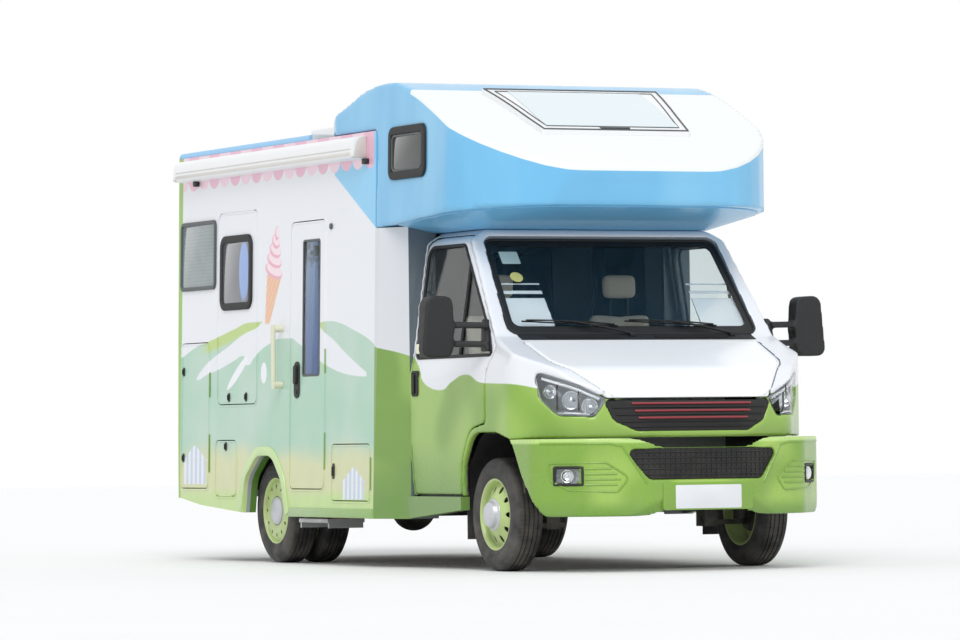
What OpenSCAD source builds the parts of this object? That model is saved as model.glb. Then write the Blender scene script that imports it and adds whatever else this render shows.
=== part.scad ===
// Motorhome-bodied ice cream truck: +X is forward, +Y is the left side, +Z is up.
// The origin is on the ground under the middle of the truck. Sizes are in millimetres.

/* [Overall] */
// Length over the bumpers
length = 5880; // [5600:10:7000]
// Front axle to the front of the bumper
front_overhang = 1050; // [950:10:1200]
// Front axle to rear axle
wheelbase = 3300; // [3200:10:4000]

/* [Box body] */
// Half width of the box at the height of its sill
box_half_w = 1125; // [1100:5:1200]
// Inward lean of the side walls, per unit of height
wall_lean = 0.021; // [0:0.001:0.04]
// Thickness of the sandwich walls and doors
wall_t = 40; // [30:1:50]
// Top of the flat roof
roof_z = 2800; // [2600:10:3100]
// Top of the box floor
floor_z = 790; // [780:5:830]
// Lower edge of the side skirts
skirt_z = 310; // [280:5:340]
// Front axle back to the front corner of the box
box_setback = 1385; // [1340:5:1420]

/* [Alcove over the cab] */
// Height of the roof hump over the flat roof
hump_h = 250; // [150:10:300]
// Front axle to the nose of the alcove
nose_reach = 270; // [150:10:400]
// Lowest line of the alcove's side
alcove_low_z = 2142; // [2130:2:2170]
// Corner radius of the nose seen from above
nose_r = 700; // [500:10:800]

/* [Cab] */
// Half width of the cab at its waist
cab_half_w = 1000; // [980:5:1020]
// Front axle back to the rear edge of the cab
cab_setback = 1100; // [1080:5:1150]
// Top of the cab roof
cab_top_z = 2100; // [2080:5:2110]
// Thickness of the cab's panels and doors
panel_t = 45; // [35:1:55]

/* [Wheels] */
// Radius of the tyres
tyre_r = 345; // [320:1:360]
// Width of a tyre
tyre_w = 195; // [175:5:215]
// Outer radius of a rim
rim_r = 216; // [200:1:230]
// Middle plane of a front wheel
front_track_half = 835; // [810:5:850]
// Middle plane of the outer twin wheel
twin_outer_y = 916; // [900:2:930]
// Distance between the middle planes of two twin wheels
twin_spacing = 232; // [225:1:240]

/* [Doors and hatches] */
// Gap round every door, hatch and flap
door_gap = 6; // [5:1:8]
// Height of the entry door's lower edge
entry_z = 497; // [480:5:560]
// Width of the entry door
entry_w = 570; // [520:5:620]
// Height of the entry door
entry_h = 1735; // [1600:5:1800]
// Width of the service hatch
hatch_w = 700; // [600:5:760]
// Height of the service hatch
hatch_h = 1285; // [1000:5:1300]

/* [Hidden] */
$fn = 48;

// Fore and aft stations
front_x = length / 2;
tail_x = -length / 2;
fa = front_x - front_overhang;
ra = fa - wheelbase;
box_front = fa - box_setback;
rear_bumper_depth = 30;
box_rear = tail_x + rear_bumper_depth;
corner_depth = 80;
wall_rear = box_rear + corner_depth;
cab_rear = fa - cab_setback;
nose_x = fa + nose_reach;
wall_top = roof_z - wall_t;
sill_ref_z = 400;
seat_gap = 0.3;

// ---------- helpers ----------
function unit(v) = v / norm(v);
function xy(p) = [p.x, p.y];

// Points of one rounded corner: p is before, q holds the corner and its radius, s is after.
function corner(p, q, s, n) =
    q[2] == 0 ? [xy(q)] :
    let (a = unit(xy(p) - xy(q)), b = unit(xy(s) - xy(q)),
         half = acos(a * b) / 2,
         centre = xy(q) + unit(a + b) * q[2] / sin(half),
         start = xy(q) + a * q[2] / tan(half) - centre,
         stop = xy(q) + b * q[2] / tan(half) - centre,
         from = atan2(start.y, start.x),
         turn = atan2(stop.y, stop.x) - from,
         sweep = turn > 180 ? turn - 360 : turn < -180 ? turn + 360 : turn)
    [for (i = [0:n]) centre + q[2] * [cos(from + sweep * i / n), sin(from + sweep * i / n)]];

// Outline whose corners are rounded: each row is x, y, radius.
function smooth(rows, n = 5) = [for (i = [0:len(rows) - 1])
    each corner(rows[(i + len(rows) - 1) % len(rows)], rows[i], rows[(i + 1) % len(rows)], n)];

// Outline moved outwards by d (inwards if negative). Rows run anticlockwise.
function grow(rows, d) = [for (i = [0:len(rows) - 1])
    let (p = xy(rows[(i + len(rows) - 1) % len(rows)]), q = xy(rows[i]),
         s = xy(rows[(i + 1) % len(rows)]), a = unit(q - p), b = unit(s - q),
         m = [a.y, -a.x], n = [b.y, -b.x], out = (m + n) * d / (1 + m * n),
         bend = a.x * b.y - a.y * b.x)
    [q.x + out.x, q.y + out.y, rows[i][2] == 0 ? 0 : max(1, rows[i][2] + (bend > 0 ? d : -d))]];

// Rounded rectangle from low to high corner.
function panel(x0, y0, x1, y1, r) = [[x0, y0, r], [x1, y0, r], [x1, y1, r], [x0, y1, r]];

// Outline in X and Z, extruded from y0 to y1.
module across(y0, y1) { translate([0, y1, 0]) rotate([90, 0, 0]) linear_extrude(y1 - y0) children(); }
// Outline in Y and Z, extruded from x0 to x1.
module along(x0, x1) { translate([x0, 0, 0]) rotate([90, 0, 90]) linear_extrude(x1 - x0) children(); }
// Outline in X and Y, extruded from z0 to z1.
module upward(z0, z1) { translate([0, 0, z0]) linear_extrude(z1 - z0) children(); }
// Round bar between two points on a line along Y.
module bar_y(x, z, r, y0, y1) { translate([x, y1, z]) rotate([90, 0, 0]) cylinder(r = r, h = y1 - y0); }
// Box between two corners.
module block(a, b) { translate(a) cube(b - a); }
module both_sides() { for (s = [0, 1]) mirror([0, s, 0]) children(); }

// ---------- box body ----------
function half_w(z) = box_half_w - wall_lean * (z - sill_ref_z);

// Slab of the leaning right wall, from out to deep below its outer face.
module wall_slab(x0, x1, z0, z1, out, deep) {
    along(x0, x1) polygon([[-half_w(z0) + out, z0], [-half_w(z0) + deep, z0],
                           [-half_w(z1) + deep, z1], [-half_w(z1) + out, z1]]);
}
// Cutter or stencil through the right wall.
module through_wall() { across(-box_half_w - 100, -box_half_w + 300) children(); }
// Panel of the right wall with the given outline.
module wall_panel(rows, out, deep) {
    intersection() {
        wall_slab(box_rear - 50, nose_x, skirt_z - 50, roof_z + 100, out, deep);
        through_wall() polygon(smooth(rows));
    }
}

// Rear wheel arch opening in the walls
arch_rear = ra - 290;
arch_front = ra + 475;
arch_top = 711;
arch_lip = 15;
lip_depth = 95;
rear_arch = [[arch_rear, skirt_z - 60, 0], [arch_front, skirt_z - 60, 0], [arch_front - 75, 545, 160],
             [arch_front - 250, arch_top, 190], [arch_rear + 260, arch_top, 190],
             [arch_rear + 50, 560, 160]];

// Side wall outline: the skirt rises towards the tail
skirt_tail_z = 490;
wall_rows = [[wall_rear, skirt_tail_z - 65, 0], [wall_rear + 370, 380, 200], [arch_rear - 40, 336, 60],
             [arch_rear + 60, skirt_z + 20, 0], [box_front, skirt_z, 0], [box_front, wall_top, 0],
             [wall_rear, wall_top, 0]];

// Doors, hatches and windows of the right wall, as rounded rectangles
entry_front = box_front - 805;
entry_rows = panel(entry_front - entry_w, entry_z, entry_front, entry_z + entry_h, 45);
entry_glass_rows = panel(entry_front - entry_w + 200, 1230, entry_front - 88, entry_z + entry_h - 122, 20);
hatch_front = box_rear + 1455;
hatch_low = 1060;
hatch_rows = panel(hatch_front - hatch_w, hatch_low, hatch_front, hatch_low + hatch_h, 55);
hatch_glass_rows = panel(hatch_front - hatch_w + 66, 1712, hatch_front - 112, 2172, 60);
rear_window_rows = panel(box_rear + 90, 1864, box_rear + 690, 2292, 25);
locker_rows = panel(box_rear + 95, 495, box_rear + 590, 1480, 35);
flap_rows = panel(box_rear + 730, 444, box_rear + 1100, 813, 40);
front_locker_rows = panel(box_front - 671, 424, box_front - 60, 779, 30);
left_window_rows = [panel(box_rear + 500, 1500, box_rear + 1500, 2100, 60),
                    panel(box_front - 1300, 1500, box_front - 500, 2100, 60)];
alcove_window_rows = panel(fa - 1148, 2455, fa - 630, 2742, 40);
frame_lap = 22;
door_t = wall_t - 8;

module plain_wall() {
    union() {
        intersection() {
            wall_slab(wall_rear, box_front, skirt_z, wall_top, 0, wall_t);
            through_wall() polygon(smooth(wall_rows));
        }
        intersection() {
            wall_slab(arch_rear - arch_lip, arch_front + arch_lip, skirt_z, 800, 0, lip_depth);
            through_wall() polygon(smooth(grow(rear_arch, arch_lip)));
            through_wall() polygon(smooth(wall_rows));
        }
    }
}

module right_wall() {
    color("whitesmoke") difference() {
        plain_wall();
        through_wall() polygon(smooth(rear_arch));
        for (rows = [entry_rows, hatch_rows, locker_rows, flap_rows, front_locker_rows])
            through_wall() polygon(smooth(grow(rows, door_gap)));
        through_wall() polygon(smooth(rear_window_rows));
    }
}

module left_wall() {
    color("whitesmoke") mirror([0, 1, 0]) difference() {
        plain_wall();
        through_wall() polygon(smooth(rear_arch));
        for (rows = left_window_rows) through_wall() polygon(smooth(rows));
    }
}

rear_window = [-420, 1500, 420, 2050];

module rear_wall() {
    color("yellowgreen") difference() {
        intersection() {
            difference() {
                upward(skirt_tail_z - 65, wall_top)
                    polygon(smooth(panel(box_rear, -box_half_w - 5, wall_rear + 200, box_half_w + 5, 70)));
                upward(skirt_tail_z - 200, wall_top + 1)
                    polygon(smooth(panel(box_rear + wall_t, -half_w(wall_top) + wall_t,
                                         wall_rear + 300, half_w(wall_top) - wall_t, 1)));
            }
            along(box_rear - 10, wall_rear) polygon([
                [-half_w(skirt_tail_z - 65), skirt_tail_z - 65],
                [half_w(skirt_tail_z - 65), skirt_tail_z - 65],
                [half_w(wall_top), wall_top], [-half_w(wall_top), wall_top]]);
        }
        along(box_rear - 10, box_rear + wall_t + 10)
            polygon(smooth(panel(rear_window[0], rear_window[1], rear_window[2], rear_window[3], 60)));
    }
}

hump_start = box_front - 1105;

module roof() {
    color("white") along(box_rear, hump_start)
        polygon(smooth([[-half_w(roof_z), wall_top, 4], [half_w(roof_z), wall_top, 4],
                        [half_w(roof_z), roof_z, 34], [-half_w(roof_z), roof_z, 34]]));
}

floor_t = 50;
floor_low = floor_z - floor_t;
well_depth = 290;
inner_half = half_w(floor_z) - wall_t;
well_rows = [entry_front - entry_w, -inner_half, entry_front, -inner_half + well_depth];
tread_t = 30;

module box_floor() {
    color("tan") union() {
        difference() {
            union() {
                block([box_rear + wall_t + seat_gap, -half_w(wall_top) + wall_t + seam, floor_low],
                      [wall_rear + 50, half_w(wall_top) - wall_t - seam, floor_z]);
                block([wall_rear + seam, -inner_half, floor_low], [box_front, inner_half, floor_z]);
            }
            block([well_rows[0], well_rows[1] - 10, floor_low - 1],
            [well_rows[2], well_rows[3], floor_z + 1]);
        }
        block([box_front, -795, floor_low], [cab_rear, 795, floor_z]);
        block([well_rows[0], well_rows[1], entry_z - tread_t],
        [well_rows[2], well_rows[3] + tread_t, entry_z]);
        for (x = [well_rows[0] - tread_t, well_rows[2]])
            block([x, well_rows[1], entry_z - tread_t], [x + tread_t, well_rows[3] + tread_t, floor_low]);
        block([well_rows[0], well_rows[3], entry_z], [well_rows[2], well_rows[3] + tread_t, floor_low]);
        for (x = [step_x - step_w / 2, step_x + step_w / 2 - 30])
            block([x, step_y + 40, step_z + 60.4], [x + 30, step_y + 260, entry_z - 1]);
    }
}

// Angled panels between the box and the cab, with the skirts below the cab doors
cheek_top = alcove_low_z - 0.5;
cheek_t = 40;
skirt_front = fa - 350;
skirt_top = 452;
cab_side_y = cab_half_w - 12;
module box_cheeks() {
    color("yellowgreen") both_sides() union() {
        intersection() {
            upward(skirt_z, cheek_top) polygon([
                [box_front, -box_half_w], [cab_rear - seam, -cab_side_y], [cab_rear - seam, -800],
                [cab_rear - seam - cheek_t, -800], [cab_rear - seam - cheek_t, -cab_side_y + cheek_t],
                [box_front, -box_half_w + cheek_t * 1.2]]);
            along(box_front, cab_rear) polygon([
                [-half_w(skirt_z), skirt_z], [-cab_half_w + 200, skirt_z],
                [-cab_half_w + 200, cheek_top], [-half_w(cheek_top), cheek_top]]);
        }
        intersection() {
            upward(skirt_z, skirt_top) polygon([
                [cab_rear - seam - cheek_t, -cab_side_y - 12], [skirt_front, -cab_side_y],
                [skirt_front, -cab_side_y + 60], [cab_rear - seam - cheek_t, -cab_side_y + 60]]);
            across(-box_half_w, 0) polygon([
                [cab_rear - 60, skirt_z], [skirt_front, skirt_z + 60], [skirt_front, skirt_top],
                [cab_rear - 60, skirt_top]]);
        }
    }
}

// ---------- alcove over the cab ----------
// Crown line of the hump and nose, from the tail of the hump: x, z
nose_top_z = roof_z - 345;
nose_low_z = alcove_low_z + 78;
hump_line = [[hump_start, roof_z], [hump_start + 300, roof_z + 70],
             [hump_start + 600, roof_z + 0.56 * hump_h],
    [hump_start + 900, roof_z + 0.88 * hump_h], [hump_start + 1150, roof_z + 0.99 * hump_h],
    [hump_start + 1300, roof_z + hump_h], [hump_start + 1450, roof_z + 0.93 * hump_h],
    [fa - 800, roof_z + 0.66 * hump_h], [fa - 550, roof_z + 0.26 * hump_h], [fa - 300, roof_z - 50],
    [fa - 80, roof_z - 150], [nose_x - 150, roof_z - 252], [nose_x, nose_top_z]];
nose_half = half_w(alcove_low_z) + 3;

// Flowing line through the points: steps pieces between each two of them
function flow_point(a, b, c, d, t) =
    (2 * b + (c - a) * t + (2 * a - 5 * b + 4 * c - d) * t * t + (3 * b - 3 * c + d - a) * t * t * t) / 2;
function flow(p, steps) = concat([for (i = [0:len(p) - 2]) for (k = [0:steps - 1])
    flow_point(p[max(i - 1, 0)], p[i], p[i + 1], p[min(i + 2, len(p) - 1)], k / steps)], [p[len(p) - 1]]);
hump_curve = flow(hump_line, 4);

module alcove_plan(inset) {
    polygon(smooth(panel(hump_start + inset - 100, -nose_half + inset, nose_x - inset, nose_half - inset,
                         nose_r - inset), 8));
}

module alcove_solid(inset) {
    intersection() {
        upward(alcove_low_z - 20, roof_z + hump_h + 20) alcove_plan(inset);
        children();
        along(hump_start - 1, nose_x + 1) polygon([
            [-half_w(alcove_low_z) + inset, alcove_low_z - 20],
            [half_w(alcove_low_z) - inset, alcove_low_z - 20],
            [half_w(roof_z + hump_h) - inset, roof_z + hump_h + 20],
            [-half_w(roof_z + hump_h) + inset, roof_z + hump_h + 20]]);
    }
}

module alcove() {
    color("skyblue") difference() {
        alcove_solid(0) across(-box_half_w, box_half_w) polygon(concat(
            [[hump_start, wall_top], [box_front, wall_top], [box_front, alcove_low_z],
             [nose_x - 40, nose_low_z]],
            [for (i = [len(hump_curve) - 1:-1:0]) hump_curve[i]]));
        alcove_solid(wall_t) across(-box_half_w, box_half_w) polygon(concat(
            [[hump_start + wall_t, wall_top - 10], [box_front - 10, wall_top - 10],
             [box_front - 10, alcove_low_z + wall_t], [nose_x - 80, nose_low_z + wall_t]],
            [for (i = [len(hump_curve) - 1:-1:3]) hump_curve[i] - [0, wall_t * 1.05]]));
        both_sides() through_wall() polygon(smooth(alcove_window_rows));
        // opening down to the underside and the cab
        block([box_front + 80, -700, alcove_low_z - 50], [fa - 500, 700, alcove_low_z + wall_t + 90]);
    }
}

// Moulded neck that carries the alcove's floor down to the cab roof
neck_gap = 0.4;
seam = 0.4;
neck_slope = (nose_low_z - alcove_low_z) / (nose_x - 40 - box_front);
module neck() {
    hull() {
        multmatrix([[1, 0, 0, 0], [0, 1, 0, 0], [neck_slope, 0, 1, -neck_slope * box_front], [0, 0, 0, 1]])
            upward(alcove_low_z - neck_gap - 6, alcove_low_z - neck_gap)
            polygon(smooth([[cab_rear + 1, -nose_half + 35, 0],
                [nose_x - 75, -nose_half + 35, nose_r - 70],
                [nose_x - 75, nose_half - 35, nose_r - 70], [cab_rear + 1, nose_half - 35, 0]], 8));
        upward(cab_top_z + seam, cab_top_z + 4)
            polygon(smooth([[cab_rear + 1, -800, 0], [fa - 440, -800, 60],
                [fa - 440, 800, 60], [cab_rear + 1, 800, 0]], 3));
    }
}
module alcove_underside() {
    color("steelblue") difference() {
        neck();
        upward(cab_top_z - 20, alcove_low_z + 120)
            polygon(smooth(panel(cab_rear + 60, -640, fa - 560, 640, 0)));
    }
}

skylight_line = [for (p = hump_curve) if (p.x > fa - 801 && p.x < fa - 79) p];
module skylight() {
    color("white") intersection() {
        across(-700, 700) polygon(concat([for (p = skylight_line) p + [0, seat_gap]],
            [for (i = [len(skylight_line) - 1:-1:0]) skylight_line[i] + [0, 30]]));
        upward(roof_z - 300, roof_z + 400) polygon(smooth([[fa - 795, -620, 20], [fa - 120, -510, 20],
            [fa - 120, 510, 20], [fa - 795, 620, 20]]));
    }
}

// Two low ventilator housings on the flat roof: x, y, length, width, height
units = [[box_rear + 700, 0, 620, 560, 150], [box_rear + 1750, 0, 520, 480, 170]];
module roof_units() {
    color("aliceblue") for (u = units) translate([u[0], u[1], roof_z])
        upward(0, u[4]) polygon(smooth(panel(-u[2] / 2, -u[3] / 2, u[2] / 2, u[3] / 2, 90)));
}

// ---------- cab ----------
screen_top = [fa - 430, cab_top_z - 45];
cowl = [fa + 100, 1425];
// Side view of the whole cab: x, z, radius
cab_side = [[cab_rear, 455, 0], [fa + 870, 455, 0], [fa + 885, 930, 30], [fa + 800, 1085, 90],
            [fa + 620, 1225, 300], [fa + 175, 1395, 60], [cowl.x, cowl.y, 40],
            [screen_top.x, cab_top_z, 70],
            [cab_rear, cab_top_z, 0]];
// Plan of the whole cab: x, y, radius
cab_plan = [[cab_rear, -cab_half_w, 0], [fa + 380, -cab_half_w + 15, 250], [fa + 735, -725, 240],
            [fa + 888, -300, 300], [fa + 888, 300, 300], [fa + 735, 725, 240],
            [fa + 380, cab_half_w - 15, 250], [cab_rear, cab_half_w, 0]];
// Front view of the whole cab: y, z, radius
cab_front = [[-cab_half_w + 30, 440, 0], [cab_half_w - 30, 440, 0], [cab_half_w, 800, 300],
             [cab_half_w, 1180, 120], [cab_half_w - 32, 1330, 60], [cab_half_w - 135, 2035, 70],
             [cab_half_w - 250, cab_top_z + 5, 0], [-cab_half_w + 250, cab_top_z + 5, 0],
             [-cab_half_w + 135, 2035, 70], [-cab_half_w + 32, 1330, 60], [-cab_half_w, 1180, 120],
             [-cab_half_w, 800, 300]];

module cab_solid(inset) {
    intersection() {
        across(-cab_half_w - 10, cab_half_w + 10) polygon(smooth(grow(cab_side, -inset)));
        upward(440, cab_top_z + 10) polygon(smooth(grow(cab_plan, -inset)));
        along(cab_rear - 10, front_x) polygon(smooth(grow(cab_front, -inset)));
    }
}
// The hollow runs on through the open rear of the cab and down to its sills.
module cab_hollow(inset) {
    intersection() {
        across(-cab_half_w - 10, cab_half_w + 10)
            polygon(smooth(concat([[cab_rear - 60, 400, 0], [fa + 840, 400, 0]],
                [for (i = [2:7]) grow(cab_side, -inset)[i]], [[cab_rear - 60, cab_top_z - inset, 0]])));
        upward(400, cab_top_z + 10) polygon(smooth(concat([[cab_rear - 60, -cab_half_w + inset, 0]],
            [for (i = [1:6]) grow(cab_plan, -inset)[i]], [[cab_rear - 60, cab_half_w - inset, 0]])));
        along(cab_rear - 60, front_x) polygon(smooth(concat(
            [[-cab_half_w + 30 + inset, 400, 0], [cab_half_w - 30 - inset, 400, 0]],
            [for (i = [2:11]) grow(cab_front, -inset)[i]])));
    }
}

// Front wheel arch opening: x, z, radius
front_arch = [[fa - 352, 300, 0], [fa + 720, 300, 0], [fa + 480, 590, 60], [fa + 345, 800, 60],
              [fa + 150, 842, 200], [fa - 185, 842, 170], [fa - 330, 620, 90]];
// Cab door: x, z, radius. Its top rear corner is rounder than the opening's, to clear it in the swing.
door_rear = cab_rear + 25;
function door_outline(top_r) = [[door_rear, skirt_top + 12, 25], [fa - 375, skirt_top + 12, 20],
             [fa - 350, 640, 80], [fa - 215, 868, 160], [fa + 5, 905, 30], [fa + 10, 1190, 150],
             [fa + 120, 1362, 25], [screen_top.x - 45, 2062, 90], [door_rear, 2062, top_r]];
door_rows = door_outline(130);
door_opening_rows = door_outline(40);
door_glass_rows = [[door_rear + 50, 1318, 30], [fa + 90, 1318, 20], [fa + 20, 1445, 60],
                   [screen_top.x - 65, 2000, 70], [door_rear + 50, 2000, 70]];
// Bonnet seen from above: x, y, radius
bonnet_rear = fa + 172;
bonnet_rows = [[bonnet_rear, -790, 20], [fa + 520, -770, 200], [fa + 800, -545, 60], [fa + 860, -300, 120],
               [fa + 860, 300, 120], [fa + 800, 545, 60], [fa + 520, 770, 200], [bonnet_rear, 790, 20]];
bonnet_low_z = 1040;
bonnet_hinge_z = 1391;
// Head lamp seen from the front, right side: y, z, radius
lamp_rows = [[-545, 1034, 12], [-700, 1120, 60], [-885, 1208, 20], [-862, 1040, 60], [-790, 938, 40],
             [-612, 930, 25]];
lamp_depth = 150;
grille_rows = [[-560, 1024, 15], [-500, 905, 25], [-370, 842, 60], [370, 842, 60], [500, 905, 25],
               [560, 1024, 15]];
grille_low_rows = [[-516, 734, 30], [-377, 552, 40], [377, 552, 40], [516, 734, 30]];
bumper_top = 800;
bumper_low = 335;

screen_run = unit([cowl.x - screen_top.x, cowl.y - screen_top.y]);
screen_angle = atan2(-screen_run.y, screen_run.x);
screen_len = norm(cowl - screen_top);
// Frame of the windscreen: +X runs down the glass, +Z points out of it.
module on_screen() { translate([screen_top.x, 0, screen_top.y]) rotate([0, screen_angle, 0]) children(); }
screen_rows = [[25, -795, 70], [screen_len - 15, -850, 70], [screen_len - 15, 850, 70], [25, 795, 70]];

module cab_shell() {
    color("yellowgreen") difference() {
        cab_solid(0);
        cab_hollow(panel_t);
        both_sides() {
            across(-cab_half_w - 20, -500) polygon(smooth(grow(door_opening_rows, door_gap)));
            across(-cab_half_w - 20, -440) polygon(smooth(front_arch));
            along(fa + 200, front_x) polygon(smooth(grow(lamp_rows, seat_gap)));
        }
        upward(bonnet_low_z - 5, 1500) polygon(smooth(grow(bonnet_rows, door_gap)));
        along(fa + 500, front_x) polygon(smooth(grow(grille_rows, seat_gap)));
        on_screen() upward(-120, 120) polygon(smooth(grow(screen_rows, 1)));
        // room for the bumper
        block([fa + 200, -cab_half_w - 20, 400], [front_x, cab_half_w + 20, bumper_top + 2]);
    }
}

// Upright hinge line of a cab door, ahead of its foremost corner and in its outer face. The rear
// edge is round about that line, so that it swings clear of the pillar behind it.
door_hinge_x = fa + 123;
module cab_door(s) {
    mirror([0, s, 0]) difference() {
        intersection() {
            cab_solid(0);
            across(-cab_half_w - 20, -500) polygon(smooth(door_rows));
            translate([door_hinge_x, -cab_half_w, 400]) cylinder(r = door_hinge_x - door_rear, h = cab_top_z);
        }
        cab_hollow(panel_t);
        across(-cab_half_w - 20, -500) polygon(smooth(door_glass_rows));
    }
}
module cab_door_right() { color("yellowgreen") cab_door(0); }
module cab_door_left() { color("yellowgreen") cab_door(1); }

glass_t = 6;
glass_depth = 14;
module door_glass(s) {
    mirror([0, s, 0]) difference() {
        intersection() {
            cab_solid(glass_depth);
            across(-cab_half_w - 20, -500) polygon(smooth(grow(door_glass_rows, -0.3)));
        }
        cab_hollow(glass_depth + glass_t);
    }
}
module door_glass_right() { color("slategray") door_glass(0); }
module door_glass_left() { color("slategray") door_glass(1); }

module windscreen() {
    color("darkslategray") on_screen() upward(-14, -6) polygon(smooth(grow(screen_rows, 0.7)));
}

module bonnet() {
    color("white") difference() {
        union() {
            intersection() {
                cab_solid(0);
                upward(bonnet_low_z, 1500) polygon(smooth(bonnet_rows));
                across(-900, 900) polygon([[bonnet_rear, 1200], [fa + 700, bonnet_low_z],
                                           [front_x, bonnet_low_z],
                                           [front_x, 1500], [bonnet_rear, 1500]]);
            }
            bar_y(bonnet_rear, bonnet_hinge_z, hinge_r, -700, 700);
        }
        cab_hollow(32);
        both_sides() along(fa + 200, front_x) polygon(smooth(grow(lamp_rows, 9)));
        along(fa + 500, front_x) polygon(smooth(grow(grille_rows, 8)));
    }
}

module grilles() {
    color("black") {
        difference() {
            intersection() {
                cab_solid(6);
                along(fa + 500, front_x) polygon(smooth(grille_rows));
            }
            cab_hollow(50);
        }
        difference() {
            intersection() {
                upward(bumper_low, bumper_top) polygon(smooth(grow(bumper_plan, -18)));
                along(fa + 500, front_x) polygon(smooth(grow(grille_low_rows, -0.3)));
            }
            upward(bumper_low - 1, bumper_top + 1) polygon(smooth(grow(bumper_plan, -60)));
        }
    }
}

// Head lamps and fog lamps
module front_lamps() {
    color("silver") both_sides() {
        difference() {
            intersection() {
                cab_solid(2);
                along(fa + 200, front_x) polygon(smooth(lamp_rows));
            }
            cab_hollow(lamp_depth);
        }
        difference() {
            intersection() {
                upward(bumper_low, bumper_top) polygon(smooth(grow(bumper_plan, -14)));
                along(fa + 500, front_x) polygon(smooth(fog_rows));
            }
            upward(bumper_low - 1, bumper_top + 1) polygon(smooth(grow(bumper_plan, -54)));
        }
    }
}

// Bumper seen from above, and its fog lamp holes seen from the front
bumper_plan = [[fa + 200, -985, 0], [fa + 640, -965, 160], [fa + 905, -720, 200], [front_x, -300, 500],
               [front_x, 300, 500], [fa + 905, 720, 200], [fa + 640, 965, 160], [fa + 200, 985, 0]];
fog_rows = [[-862, 622, 12], [-862, 532, 12], [-755, 532, 12], [-755, 622, 12]];
module front_bumper() {
    color("yellowgreen") difference() {
        intersection() {
            upward(bumper_low, bumper_top) polygon(smooth(bumper_plan));
            across(-1000, 1000) polygon(smooth([[fa + 200, bumper_low, 0], [front_x - 60, bumper_low, 40],
                [front_x, 450, 80], [front_x, 700, 60], [fa + 960, bumper_top, 30],
                [fa + 200, bumper_top, 0]]));
        }
        upward(bumper_low - 1, bumper_top + 1) polygon(smooth(concat([[fa + 190, -985 + panel_t, 0]],
            [for (i = [1:6]) grow(bumper_plan, -panel_t)[i]], [[fa + 190, 985 - panel_t, 0]])));
        both_sides() {
            across(-cab_half_w - 20, -440) polygon(smooth(front_arch));
            along(fa + 500, front_x + 1) polygon(smooth(grow(fog_rows, 0.3)));
        }
        along(fa + 500, front_x + 1) polygon(smooth(grille_low_rows));
    }
}

firewall_x = fa + 60;
module cab_floor() {
    color("dimgray") difference() {
        across(-cab_half_w + 92, cab_half_w - 92) polygon([
            [cab_rear, 690], [fa - 385, 690], [fa - 385, 862], [firewall_x, 862], [firewall_x + 30, 1300],
            [firewall_x, 1300], [firewall_x - 30, 892], [fa - 415, 892], [fa - 415, 720], [cab_rear, 720]]);
        both_sides() block([fa - 30, -cab_half_w, 800], [fa + 200, -855, 1400]);
    }
}

wheel_hub = [fa - 330, 400, 1195];
wheel_tilt = 28;
module dashboard() {
    color("darkslategray") union() {
        across(-850, 850) polygon(smooth([[firewall_x - 30, 900, 0], [firewall_x - 1, 1299, 0],
            [firewall_x - 150, 1370, 30], [firewall_x - 280, 1310, 50], [firewall_x - 250, 1120, 60],
            [firewall_x - 120, 900, 20]]));
        translate(wheel_hub) rotate([0, wheel_tilt - 90, 0]) {
            rotate_extrude() translate([200, 0]) circle(r = 16);
            cylinder(r = 55, h = 40, center = true);
            for (a = [30, 150, 270]) rotate([0, 0, a]) translate([0, -18, -8]) cube([200, 36, 16]);
            translate([0, 0, -230]) cylinder(r = 30, h = 230);
        }
    }
}

// Two seats on plinths: the sides of the cushion, backrest and headrest share one outline
seat_y = 430;
seat_x = cab_rear + 110;
module seats() {
    color("wheat") both_sides() translate([0, seat_y, 0]) union() {
        across(-190, 190) polygon(smooth(panel(seat_x + 60, 720.3, seat_x + 440, 1000, 0)));
        across(-235, 235) polygon(smooth([[seat_x + 10, 930, 30], [seat_x + 530, 960, 50],
            [seat_x + 520, 1080, 50], [seat_x + 170, 1065, 40], [seat_x + 75, 1620, 50],
            [seat_x - 50, 1600, 50]]));
        across(-30, 30) polygon(smooth(panel(seat_x - 10, 1600, seat_x + 20, 1700, 0)));
        across(-125, 125) polygon(smooth([[seat_x - 60, 1680, 30], [seat_x + 55, 1680, 30],
            [seat_x + 45, 1850, 35], [seat_x - 45, 1850, 35]]));
    }
}

// Mirrors on two arms, carried by the front lower corner of the door window
mirror_rows = [[-1385, 1300, 50], [-1180, 1300, 50], [-1165, 1480, 20], [-1180, 1670, 50],
               [-1350, 1680, 60]];
module mirror_body(s) {
    mirror([0, s, 0]) union() {
        along(fa - 120, fa - 10) polygon(smooth(mirror_rows));
        for (z = [1365, 1480]) hull() {
            block([fa - 85, -1190, z], [fa - 35, -1170, z + 38]);
            block([fa + 5, -cab_half_w + 12, z - 5], [fa + 60, -cab_half_w + 30, z + 33]);
        }
        hull() {
            block([fa - 20, -cab_half_w + 4, 1335], [fa + 75, -cab_half_w + 32.6, 1340]);
            block([fa - 40, -cab_half_w + 20, 1530], [fa + 5, -cab_half_w + 58, 1535]);
        }
    }
}
module mirror_right() { color("black") mirror_body(0); }
module mirror_left() { color("black") mirror_body(1); }

// ---------- running gear ----------
rail_y = 380;
rail_w = 70;
rail_low = 500;
rail_top = 660;
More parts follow.
